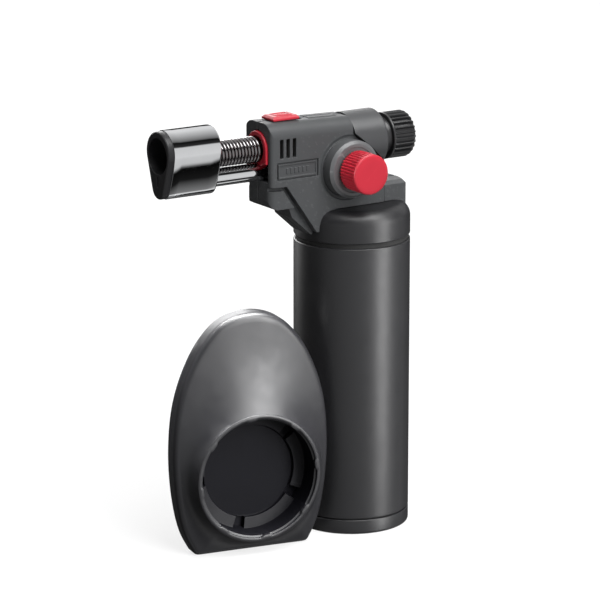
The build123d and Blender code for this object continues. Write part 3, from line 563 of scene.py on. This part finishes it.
def box_shape(low, high):
    """Vertices and faces of a box, for shapes that are merged afterwards."""
    (x0, y0, z0), (x1, y1, z1) = low, high
    vertices = [(x, y, z) for x in (x0, x1) for y in (y0, y1) for z in (z0, z1)]
    return vertices, [(0, 1, 3, 2), (4, 6, 7, 5), (0, 4, 5, 1), (2, 3, 7, 6), (0, 2, 6, 4), (1, 5, 7, 3)]


def build_nameplate():
    """A plate with a raised frame and a plain row of raised bars."""
    low, high = span("nameplate")
    back, face = high.y, low.y
    floor = face + PLATE_RELIEF
    root = floor + MERGE
    boxes = [((low.x, floor, low.z), (high.x, back, high.z)),
             ((low.x, face, low.z), (high.x, root, low.z + PLATE_FRAME)),
             ((low.x, face, high.z - PLATE_FRAME), (high.x, root, high.z)),
             ((low.x, face, low.z), (low.x + PLATE_FRAME, root, high.z)),
             ((high.x - PLATE_FRAME, face, low.z), (high.x, root, high.z))]
    middle_x, middle_z = (low.x + high.x) / 2, (low.z + high.z) / 2
    wide, tall = BAR_HALF
    for i in range(PLATE_BARS):
        x = middle_x + (i - (PLATE_BARS - 1) / 2) * BAR_PITCH
        boxes.append(((x - wide, face + 0.05, middle_z - tall), (x + wide, root, middle_z + tall)))
    vertices, faces = [], []
    for corner_a, corner_b in boxes:
        points, sides = box_shape(corner_a, corner_b)
        faces += [tuple(i + len(vertices) for i in side) for side in sides]
        vertices += points
    piece = new_piece("nameplate_relief", vertices, faces, HEAD_PLASTIC)
    ease_edges(piece, voxel=0.06, passes=3)
    bake(piece)
    for polygon in piece.data.polygons:
        polygon.use_smooth = True
    stand_for(piece, "torch", "charcoal_plastic", "nameplate")


# ------------------------------------------------------------------ knob, boss and button
KNOB_RIBS = 40
KNOB_GROOVE = 0.42
KNOB_BORE_R = 2.05       # the spindle's hole
KNOB_CAP = 2.4           # thickness of the cap that closes it
BOSS_BORE_R = 2.4
BOSS_PAN_R = 8.2         # a shallow pan in the boss's face, hidden by the knob
BOSS_BEVEL = (1.1, 0.9)  # width and depth of the bevel round that face
BUTTON_RIBS = 26
BUTTON_GROOVE = 1.25
BUTTON_NECK_R = 6.9
BUTTON_BORE_R = 5.8      # the plunger's hole
BUTTON_BORE_END = 18.0   # where that hole ends, along X
BUTTON_RING_X = 5.2      # from the neck's end to the plain ring in front of the ribs
BUTTON_ROUND = 2.2       # radius of the rounded rim at its end


def build_gas_knob():
    """The red knob: a ribbed drum with a smooth, slightly domed cap."""
    low, high = span("gas_knob")
    centre = ((low.x + high.x) / 2, (low.z + high.z) / 2)
    radius = (high.x - low.x) / 2
    back, front = high.y, low.y
    cap_r, cap_y = radius - 0.62, front + 0.02
    profile = [(0.0, front + KNOB_CAP), (KNOB_BORE_R, front + KNOB_CAP), (KNOB_BORE_R, back),
               (radius - 0.9, back), (radius - 0.35, back - 0.12), (radius - 0.1, back - 0.45)]
    length = back - front
    profile += [(radius, back - 0.45 - (length - 1.9) * i / 9) for i in range(1, 9)]
    profile += [(radius, front + 1.25), (radius, front + 0.95), (radius - 0.02, front + 0.6),
                (radius - 0.12, front + 0.32), (radius - 0.32, front + 0.12), (cap_r, cap_y)]
    profile += [(cap_r * (1 - i / 5), cap_y - 0.004 * i) for i in range(1, 6)]

    def wave(angle, r, height):
        if r < radius - 0.7:
            return r
        return r - KNOB_GROOVE * groove(angle, KNOB_RIBS, 0.36, 1.6) * climb(height, front + 0.9, 0.25)

    piece = lathe("gas_knob_cap", profile, KNOB_PLASTIC, "Y", centre, steps=400, closed=False,
                  wave=wave)
    stand_for(piece, "gas_control", "red_plastic", "gas_knob")


def build_boss():
    """The raised collar behind the gas knob, with a bevel round a flat face; its lighter colour and
    bright bevel edge are painted light.
    """
    low, high = span("control_boss")
    centre = ((low.x + high.x) / 2, (low.z + high.z) / 2)
    radius = (high.x - low.x) / 2
    back, front = high.y, low.y
    bevel_w, bevel_d = BOSS_BEVEL
    pan = front + 0.25
    profile = rounded([(BOSS_BORE_R, back, 0.0), (radius, back, 0.1), (radius, front + bevel_d, 0.3),
                       (radius - bevel_w, front, 0.35), (BOSS_PAN_R, front, 0.1),
                       (BOSS_PAN_R - 0.2, pan, 0.1), (BOSS_BORE_R, pan, 0.1)])
    piece = lathe("control_boss_collar", profile, BOSS_LIT_PLASTIC, "Y", centre)
    stand_for(piece, "torch", "charcoal_plastic", "control_boss")


def build_button():
    """The ribbed push button with a plain ring in front and a rounded rim behind."""
    low, high = span("piezo_button")
    centre = ((low.y + high.y) / 2, (low.z + high.z) / 2)
    radius = (high.y - low.y) / 2
    neck_x, end = low.x, high.x
    ring_x = neck_x + BUTTON_RING_X
    drum_r = radius - 0.02
    profile = [(0.0, BUTTON_BORE_END), (BUTTON_BORE_R, BUTTON_BORE_END)]
    profile += rounded([(BUTTON_BORE_R, neck_x, 0.3), (BUTTON_NECK_R, neck_x, 0.3),
                        (BUTTON_NECK_R, ring_x, 0.2), (radius, ring_x, 0.35),
                        (radius, ring_x + 0.8, 0.15), (radius - 0.25, ring_x + 0.95, 0.1)], 4)
    start = ring_x + 1.1
    profile += [(drum_r, start + (end - 2.4 - start) * i / 7) for i in range(8)]
    profile += [(drum_r + BUTTON_ROUND * (math.cos(a) - 1), end + BUTTON_ROUND * (math.sin(a) - 1))
                for a in [math.radians(10 * k) for k in range(1, 10)]]
    profile += [((radius - 2.25) * (1 - i / 5), end) for i in range(1, 6)]

    def wave(angle, r, height):
        if height < start - 0.05 or r < BUTTON_BORE_R + 0.1:
            return r
        return r - BUTTON_GROOVE * groove(angle, BUTTON_RIBS, 0.40, 2.6) * climb(r, 6.6, 1.2)

    piece = lathe("piezo_button_cap", profile, BUTTON_PLASTIC, "X", centre, steps=416, closed=False,
                  wave=wave)
    stand_for(piece, "igniter", "black_plastic", "piezo_button")


# ------------------------------------------------------------------ burner
# Arcs of the muzzle's outline: from and to which direction they face, in degrees, and their radius.
# The last number is how many straight steps each arc is made of.
LOBES = ((90.0, -9.0, 7.9, 52), (-9.0, -25.05, 47.7, 26), (-25.05, -90.0, 4.3, 30))
GUARD_WALL = 0.9
GUARD_LIP = 2.6          # how far the guard's back folds in
GUARD_LIP_DEPTH = 1.0
COIL_WIRE = 0.52
COIL_TURNS = 13
TUBE_BORE_R, TUBE_R = 2.9, 3.6
CONDUIT_BORE_R = 2.3


def pear_ring(x, shrink):
    """One section of the muzzle's pear outline at x, pulled in by a margin."""
    y, z = 0.0, span("muzzle_guard")[1].z - shrink
    half = [(y, z)]
    for start, stop, radius, steps in LOBES:
        for i in range(steps):
            a, b = [math.radians(start + (stop - start) * k / steps) for k in (i, i + 1)]
            y += (radius - shrink) * (math.cos(b) - math.cos(a))
            z += (radius - shrink) * (math.sin(b) - math.sin(a))
            half.append((y, z))
    return [(x, y, z) for y, z in half] + [(x, -y, z) for y, z in reversed(half[1:-1])]


def build_muzzle():
    """The chrome guard with its rolled front rim, and the dark insert with its mouth and slot."""
    low, high = span("muzzle_guard")
    front, back = low.x, high.x
    wall = GUARD_WALL
    rings = [pear_ring(front + 0.5, wall), pear_ring(front + 0.12, wall), pear_ring(front, wall - 0.15),
             pear_ring(front, 0.3), pear_ring(front + 0.1, 0.1), pear_ring(front + 0.35, 0.0)]
    for i in range(1, 6):
        rings.append(pear_ring(front + (back - front - 1.4) * i / 6, 0.0))
    for a in range(0, 91, 15):
        c, s = math.cos(math.radians(a)), math.sin(math.radians(a))
        rings.append(pear_ring(back - wall * (1 - s), wall * (1 - c)))
    fold = back - GUARD_LIP_DEPTH
    rings += [pear_ring(back, GUARD_LIP), pear_ring(fold, GUARD_LIP), pear_ring(fold, wall)]
    stand_for(loft("muzzle_guard_shell", rings, CHROME, closed_loop=True), "torch", "chrome",
              "muzzle_guard")
    stand_for(recast("muzzle_insert", "muzzle_insert_casting", INSERT_COAT, voxel=0.12, passes=4),
              "torch", "dark_insert", "muzzle_insert")


def helix(centre, radius, wire, start, stop, turns, steps=44, around=12):
    """Rings of a round wire wound about X, closing into a flat turn at both ends."""
    rings = []
    total = int(turns * steps)
    for i in range(total + 1):
        t = 2 * math.pi * i / steps
        x = start + (stop - start) * i / total
        out = Vector((0, math.cos(t), math.sin(t)))
        pitch = (stop - start) / turns / (2 * math.pi)
        along = Vector((pitch, -radius * math.sin(t), radius * math.cos(t))).normalized()
        side = along.cross(out).normalized()
        middle = Vector((x, centre[0], centre[1])) + out * radius
        ring = []
        for k in range(around):
            a = 2 * math.pi * k / around
            ring.append(tuple(middle + out * (wire * math.cos(a)) + side * (wire * math.sin(a))))
        rings.append(ring)
    return rings


def build_burner():
    """Burner tube, its wound coil and the chrome conduit under it."""
    low, high = span("burner_coil")
    centre = ((low.y + high.y) / 2, (low.z + high.z) / 2)
    wire = COIL_WIRE
    rings = helix(centre, (high.y - low.y) / 2 - wire, wire, low.x + wire, high.x - wire, COIL_TURNS)
    stand_for(loft("burner_coil_wire", rings, DARK_STEEL), "torch", "spring_steel", "burner_coil")
    low, high = span("burner_tube")
    tube = rounded([(TUBE_BORE_R, low.x, 0.15), (TUBE_R, low.x, 0.2), (TUBE_R, high.x, 0.2),
                    (TUBE_BORE_R, high.x, 0.15)], 3)
    stand_for(lathe("burner_tube_shell", tube, DARK_STEEL, "X", centre, steps=72), "torch",
              "tank_steel", "burner_tube")
    low, high = span("conduit_tube")
    middle = ((low.y + high.y) / 2, (low.z + high.z) / 2)
    outer = (high.y - low.y) / 2
    pipe = rounded([(CONDUIT_BORE_R, low.x, 0.1), (outer, low.x, 0.2), (outer, high.x, 0.5),
                    (CONDUIT_BORE_R, high.x, 0.2)], 5)
    stand_for(lathe("conduit_tube_shell", pipe, CHROME, "X", middle, steps=96), "torch", "chrome",
              "conduit_tube")


# ------------------------------------------------------------------ stand
# Half widths of the outline and their heights, foot first.
RIGHT_SIDE = ((21.5, 0.0), (25.5, 8.0), (28.3, 20.5), (29.4, 37.5), (27.9, 54.0), (24.0, 66.5),
              (18.0, 77.3), (10.5, 84.4))
STAND_H = 87.0
SIDE_DEPTH = 7.2         # depths are measured from the open underside
RIM_DEPTH = 14.1
RIM_R = 23.4
WALL = 1.8
LIP_R = 21.9
LEDGE = 4.1              # depth of the ledge that carries the tank's foot
WELL = 2.6               # depth of the floor inside it
WELL_R = 17.0
EDGE_ROUND = 2.4
EDGE_TURN = 78.0         # how far the rounded edge turns from the side into the face, in degrees
SLOT_SINK = 0.6          # how far the ledge's slots go below the well's floor
FLOOR = 1.6              # thickness of that floor
RIM_GAP = 2.0            # from the socket's own place to the rim's front
DIRECTIONS = 480         # points in each ring round the socket
# Lugs on the rim's lip and slots across the ledge: how many, the first one's place and half the
# width of each, in degrees.
LUGS, LUG_START, LUG_HALF = 8, 7.0, 5.4
SLOTS, SLOT_START, SLOT_HALF = 5, 42.0, 5.3


def outline_points(steps=24):
    """The stand's outline as a smooth curve through its half widths, foot first."""
    chain = [*RIGHT_SIDE, (0.0, STAND_H), *[(-w, z) for w, z in reversed(RIGHT_SIDE)]]
    points = []
    last = len(chain) - 1
    for i in range(last):
        p1, p2 = Vector(chain[i]), Vector(chain[i + 1])
        p0 = Vector(chain[i - 1]) if i else p1 * 2 - p2
        p3 = Vector(chain[i + 2]) if i < last - 1 else p2 * 2 - p1
        k1, k2, k3 = [(b - a).length ** 0.5 for a, b in ((p0, p1), (p1, p2), (p2, p3))]
        m1 = ((p1 - p0) / k1 - (p2 - p0) / (k1 + k2) + (p2 - p1) / k2) * k2
        m2 = ((p2 - p1) / k2 - (p3 - p1) / (k2 + k3) + (p3 - p2) / k3) * k2
        for step in range(steps):
            t = step / steps
            points.append((2 * t**3 - 3 * t**2 + 1) * p1 + (t**3 - 2 * t**2 + t) * m1
                          + (-2 * t**3 + 3 * t**2) * p2 + (t**3 - t**2) * m2)
    points.append(Vector(chain[-1]))
    return points


def outline_radii(centre_z, count):
    """Distance from the socket's axis to the outline, for each of count directions."""
    outline = [p - Vector((0.0, centre_z)) for p in outline_points()]
    radii = []
    for i in range(count):
        a = 2 * math.pi * i / count
        d = Vector((math.cos(a), math.sin(a)))
        best = 0.0
        for p, q in zip(outline, [*outline[1:], outline[0]]):
            e = q - p
            cross = d.x * e.y - d.y * e.x
            if abs(cross) < 1e-12:
                continue
            r = (p.x * e.y - p.y * e.x) / cross
            s = (p.x * d.y - p.y * d.x) / cross
            if -1e-9 <= s <= 1 + 1e-9 and r > best:
                best = r
        radii.append(best)
    # the two corners of the foot are rounded a little
    for _ in range(6):
        radii = [(radii[i - 1] + 2 * radii[i] + radii[(i + 1) % count]) / 4 for i in range(count)]
    return radii


def build_stand():
    """The egg-shaped stand: a thin dome flared up to a round socket with lugs and a slotted ledge."""
    mounts = {mount["name"]: mount for mount in frame["record"]["mounts"]}
    socket = mounts["stand_socket"]
    out = Vector(socket["axis"])
    across = Vector((-out.y, out.x, 0.0))
    socket_r = socket["dims"]["r_mm"]
    rim_centre = Vector(socket["pos_m"]) / MM + out * RIM_GAP
    radii = outline_radii(rim_centre.z, DIRECTIONS)

    def ring(radius_of, depth_of):
        points = []
        for i in range(DIRECTIONS):
            a = 2 * math.pi * i / DIRECTIONS
            depth = depth_of(a) if callable(depth_of) else depth_of
            r = radius_of(i, a) if callable(radius_of) else radius_of
            points.append(tuple(rim_centre + across * (r * math.cos(a)) + out * (depth - RIM_DEPTH)
                                + Vector((0, 0, r * math.sin(a)))))
        return points

    def inset(distance):
        return lambda i, a: radii[i] - distance

    def between(distance, radius, share):
        return lambda i, a: (radii[i] - distance) * (1 - share) + radius * share

    def away_from(a, places, first):
        """Degrees from the nearest of a ring of equally spaced places."""
        pitch = 360 / places
        return abs((math.degrees(a) - first + pitch / 2) % pitch - pitch / 2)

    def lug(a):
        return max(0.0, 1.0 - (away_from(a, LUGS, LUG_START) / LUG_HALF) ** 4)

    def slot(a):
        return 1.0 if away_from(a, SLOTS, SLOT_START) < SLOT_HALF else 0.0

    def flare(share):
        return 0.42 * share + 0.58 * share**3.2

    # outer side and its rounded front edge
    rings = [ring(inset(0.25), 0.0), ring(inset(0.0), 0.25)]
    rings += [ring(inset(0.0), SIDE_DEPTH * share) for share in (0.3, 0.55)]
    for step in range(9):
        a = math.radians(EDGE_TURN * step / 8)
        face_inset = EDGE_ROUND * (1 - math.cos(a))
        face_depth = SIDE_DEPTH - EDGE_ROUND + EDGE_ROUND * math.sin(a)
        rings.append(ring(inset(face_inset), face_depth))
    rim_low = RIM_DEPTH - 0.5
    for step in range(1, 24):
        share = step / 24
        rings.append(ring(between(face_inset, RIM_R, share),
                          face_depth + (rim_low - face_depth) * flare(share)))

    def lip(widen):
        return lambda i, a: LIP_R + widen - (LIP_R - socket_r) * lug(a)

    # rim, with small lugs on the inside of its widened mouth
    rings += [ring(RIM_R, rim_low), ring(RIM_R - 0.1, RIM_DEPTH - 0.18), ring(RIM_R - 0.4, RIM_DEPTH)]
    rings += [ring(lip(0.25), RIM_DEPTH), ring(lip(0.07), RIM_DEPTH - 0.08),
              ring(lip(0.0), RIM_DEPTH - 0.3), ring(lip(0.0), RIM_DEPTH - 1.1),
              ring(socket_r, RIM_DEPTH - 1.3)]

    def ledge_depth(drop):
        return lambda a: (LEDGE - drop) * (1 - slot(a)) + (WELL - SLOT_SINK) * slot(a)

    # wall, slotted ledge and well
    rings += [ring(socket_r, LEDGE + 0.4), ring(socket_r - 0.12, LEDGE + 0.1),
              ring(socket_r - 0.4, ledge_depth(0.0)), ring(WELL_R + 0.4, ledge_depth(0.0)),
              ring(WELL_R + 0.1, ledge_depth(0.1)), ring(WELL_R, ledge_depth(0.4)),
              ring(WELL_R, WELL + 0.3), ring(WELL_R - 0.3, WELL)]
    rings += [ring(radius, WELL) for radius in (14.0, 11.0, 8.0, 5.0)]
    # underside: cup bottom, cup wall, inside of the face and of the side
    cup = WELL - FLOOR
    under = [ring(radius, cup) for radius in (5.0, 8.0, 14.0, 20.0, RIM_R - 0.5)]
    under.append(ring(RIM_R, cup + 0.5))
    for step in range(14, -1, -1):
        share = step / 15
        depth = face_depth + (rim_low - face_depth) * flare(share) - WALL
        under.append(ring(between(WALL + 0.4, RIM_R, share), max(depth, cup + 0.6)))
    under += [ring(inset(WALL), face_depth - WALL - 0.6), ring(inset(WALL), 0.2),
              ring(inset(WALL - 0.2), 0.0)]
    piece = loft("stand_shell", under + rings, STAND_PLASTIC, smooth_angle=40.0)
    piece.data.materials.append(SOCKET_SHADED_PLASTIC)
    piece.data.materials.append(LEDGE_SHADED_PLASTIC)
    # faces inside the socket take the painted shade copies, the ledge's top the less dark one
    for polygon in piece.data.polygons:
        place = polygon.center / MM - rim_centre
        depth = place.dot(out)
        reach = (place - out * depth).length
        if reach < socket_r + 0.1 and WELL - 0.8 < depth + RIM_DEPTH < RIM_DEPTH - 1.2:
            on_ledge = reach > WELL_R and abs(depth + RIM_DEPTH - LEDGE) < 0.15
            polygon.material_index = 2 if on_ledge else 1
    stand_for(piece, "stand", "black_plastic", "stand_base")


# ------------------------------------------------------------------ stage
CAMERA_TARGET = mm(-4.74, 26.84, 77.05)
CAMERA_TURN = 33.0       # degrees from the knob's side towards the muzzle
CAMERA_RISE = 14.5       # degrees above the table
CAMERA_DISTANCE = 1.267  # metres
CAMERA_LENS = 207.0      # millimetres, on a sensor 36 mm wide


def build_camera():
    """A long lens on the muzzle side, a little above the table."""
    turn, rise = math.radians(CAMERA_TURN), math.radians(CAMERA_RISE)
    away = Vector((-math.sin(turn) * math.cos(rise), -math.cos(turn) * math.cos(rise), math.sin(rise)))
    data = bpy.data.cameras.new("camera")
    data.lens = CAMERA_LENS
    data.sensor_width = 36.0
    data.clip_start = 0.05
    camera = bpy.data.objects.new("camera", data)
    camera.location = CAMERA_TARGET + away * CAMERA_DISTANCE
    camera.rotation_euler = (-away).to_track_quat("-Z", "Y").to_euler()
    bpy.context.scene.collection.objects.link(camera)
    bpy.context.scene.camera = camera


AMBIENT = 0.12
BACKDROP = 1.0
FLOOR_REACH = 8.0        # metres from the middle to the table's edges
# Bands round the room that mirrors see: how high each begins, in degrees, and how bright it is.
BANDS = ((-180, 0.06), (-165, 0.06), (-98, 0.12), (-88, 0.72), (-70, 0.80), (-65, 0.22), (-52, 0.01),
         (-40, 0.002), (-37, 0.60), (-20, 0.72), (25, 0.66), (31, 0.03), (52, 0.004), (60, 0.18),
         (85, 0.42), (125, 0.78), (150, 0.80), (157, 0.01), (180, 0.02))


def softbox(name, location, target, size, power, receivers, glossy=True):
    """A rectangular area light aimed at a point, for a group of pieces."""
    data = bpy.data.lights.new(name, "AREA")
    data.shape = "RECTANGLE"
    data.size, data.size_y = size
    data.energy = power
    lamp = bpy.data.objects.new(name, data)
    lamp.location = location
    lamp.rotation_euler = (Vector(target) - Vector(location)).to_track_quat("-Z", "Y").to_euler()
    lamp.visible_glossy = glossy
    lamp.visible_camera = False
    lamp.light_linking.receiver_collection = receivers
    bpy.context.scene.collection.objects.link(lamp)


def elevation_bands(tree, stops):
    """Brightness by how high a direction looks, turning about the X axis from the front."""
    coordinate = add(tree, "ShaderNodeTexCoord")
    split = add(tree, "ShaderNodeSeparateXYZ")
    tree.links.new(coordinate.outputs["Generated"], split.inputs["Vector"])
    front = add(tree, "ShaderNodeMath", operation="MULTIPLY", inputs={1: -1.0})
    tree.links.new(split.outputs["Y"], front.inputs[0])
    angle = add(tree, "ShaderNodeMath", operation="ARCTAN2")
    tree.links.new(split.outputs["Z"], angle.inputs[0])
    tree.links.new(front.outputs[0], angle.inputs[1])
    share = add(tree, "ShaderNodeMapRange",
                inputs={"From Min": -math.pi, "From Max": math.pi, "To Min": 0.0, "To Max": 1.0})
    tree.links.new(angle.outputs[0], share.inputs["Value"])
    ramp = add(tree, "ShaderNodeValToRGB")
    elements = ramp.color_ramp.elements
    while len(elements) > 1:
        elements.remove(elements[-1])
    for i, (degrees, level) in enumerate(stops):
        place = (degrees + 180) / 360
        element = elements[0] if i == 0 else elements.new(place)
        element.position = place
        element.color = (level, level, level, 1)
    tree.links.new(share.outputs["Result"], ramp.inputs["Fac"])
    return ramp.outputs["Color"]


def build_world():
    """White to the camera, a weak soft sky for lighting, and dark and light bands for mirrors."""
    world = bpy.data.worlds.new("studio")
    bpy.context.scene.world = world
    world.use_nodes = True
    tree = world.node_tree
    tree.nodes.clear()
    out = add(tree, "ShaderNodeOutputWorld")
    soft = add(tree, "ShaderNodeBackground", inputs={"Color": (1, 1, 1, 1), "Strength": AMBIENT})
    seen = add(tree, "ShaderNodeBackground", inputs={"Color": (1, 1, 1, 1), "Strength": BACKDROP})
    bands = add(tree, "ShaderNodeBackground", inputs={"Strength": 1.0})
    tree.links.new(elevation_bands(tree, BANDS), bands.inputs["Color"])
    path = add(tree, "ShaderNodeLightPath")
    mirror = add(tree, "ShaderNodeMixShader")
    tree.links.new(path.outputs["Is Glossy Ray"], mirror.inputs[0])
    tree.links.new(soft.outputs[0], mirror.inputs[1])
    tree.links.new(bands.outputs[0], mirror.inputs[2])
    eye = add(tree, "ShaderNodeMixShader")
    tree.links.new(path.outputs["Is Camera Ray"], eye.inputs[0])
    tree.links.new(mirror.outputs[0], eye.inputs[1])
    tree.links.new(seen.outputs[0], eye.inputs[2])
    tree.links.new(eye.outputs[0], out.inputs["Surface"])


def build_floor():
    """A plain pale table that keeps soft contact shadows but throws little light back up."""
    mesh = bpy.data.meshes.new("floor")
    turns = ((-1, -1), (1, -1), (1, 1), (-1, 1))
    mesh.from_pydata([(x * FLOOR_REACH, y * FLOOR_REACH, 0) for x, y in turns], [], [(0, 1, 2, 3)])
    floor = bpy.data.objects.new("floor", mesh)
    bpy.context.scene.collection.objects.link(floor)
    floor.visible_glossy = False
    floor.visible_shadow = False
    material, tree, shader = node_tree("pale_floor")
    shader.inputs["Base Color"].default_value = (0.9, 0.9, 0.9, 1)
    shader.inputs["Roughness"].default_value = 0.9
    shader.inputs["Specular IOR Level"].default_value = 0.0
    glow = add(tree, "ShaderNodeEmission", inputs={"Color": (1, 1, 1, 1), "Strength": BACKDROP})
    pale = add(tree, "ShaderNodeMixShader", inputs={0: 0.75})
    tree.links.new(shader.outputs[0], pale.inputs[1])
    tree.links.new(glow.outputs[0], pale.inputs[2])
    dull = add(tree, "ShaderNodeBsdfDiffuse", inputs={"Color": (0.2, 0.2, 0.2, 1)})
    path = add(tree, "ShaderNodeLightPath")
    mix = add(tree, "ShaderNodeMixShader")
    tree.links.new(path.outputs["Is Camera Ray"], mix.inputs[0])
    tree.links.new(dull.outputs[0], mix.inputs[1])
    tree.links.new(pale.outputs[0], mix.inputs[2])
    tree.links.new(mix.outputs[0], tree.nodes["Material Output"].inputs["Surface"])
    mesh.materials.append(material)


def pieces_of(*materials):
    """The pieces whose first material is one of these."""
    return [piece for piece in bpy.data.objects
            if piece.type == "MESH" and piece.data.materials and piece.data.materials[0] in materials]


def light_group(name, pieces, state):
    """A collection of pieces that a light reaches (INCLUDE) or passes over (EXCLUDE)."""
    group = bpy.data.collections.new(name)
    for piece in pieces:
        group.objects.link(piece)
    for entry in group.collection_objects:
        entry.light_linking.link_state = state
    return group


def build_lights():
    """Softboxes: places and sizes in metres, power in watts, each for the pieces in its group."""
    middle = (0.0, 0.0, 0.08)
    not_mirrors = light_group("mirrors", pieces_of(CHROME), "EXCLUDE")
    tank = light_group("tank", pieces_of(TANK_PAINT, BLACK_PLASTIC, RUBBER), "INCLUDE")
    stand = light_group("stand", pieces_of(STAND_PLASTIC), "INCLUDE")
    knob = light_group("knob", pieces_of(KNOB_PLASTIC), "INCLUDE")
    softbox("key", (0.60, -1.04, 0.50), (0.0, 0.0, 0.50), (0.42, 2.0), 25, tank)
    softbox("strip", (0.30, -1.10, 0.62), (-0.05, 0.0, 0.10), (0.50, 1.5), 50, stand)
    softbox("side", (-1.10, -0.28, 0.40), middle, (0.6, 0.6), 8, knob)
    softbox("crown", (0.02, 0.08, 1.05), (-0.05, 0.0, 0.05), (1.0, 0.5), 150, stand)
    softbox("fill", (0.11, -1.18, 0.60), middle, (0.8, 0.8), 18, not_mirrors, glossy=False)
    softbox("overhead", (0.10, -0.52, 1.21), middle, (1.1, 0.7), 20, not_mirrors)
    softbox("rim", (-0.32, 1.15, 0.35), middle, (0.6, 1.0), 4, tank)
    softbox("back", (0.25, 1.15, 0.60), middle, (0.8, 0.8), 14, not_mirrors)


build_tank()
build_head()
build_gas_knob()
build_boss()
build_button()
build_muzzle()
build_burner()
build_stand()
build_world()
build_floor()
build_lights()
build_camera()
bpy.context.scene.view_settings.view_transform = "Standard"


def corners(box):
    """A box as plain lists of numbers."""
    return [[float(value) for value in corner] for corner in box]
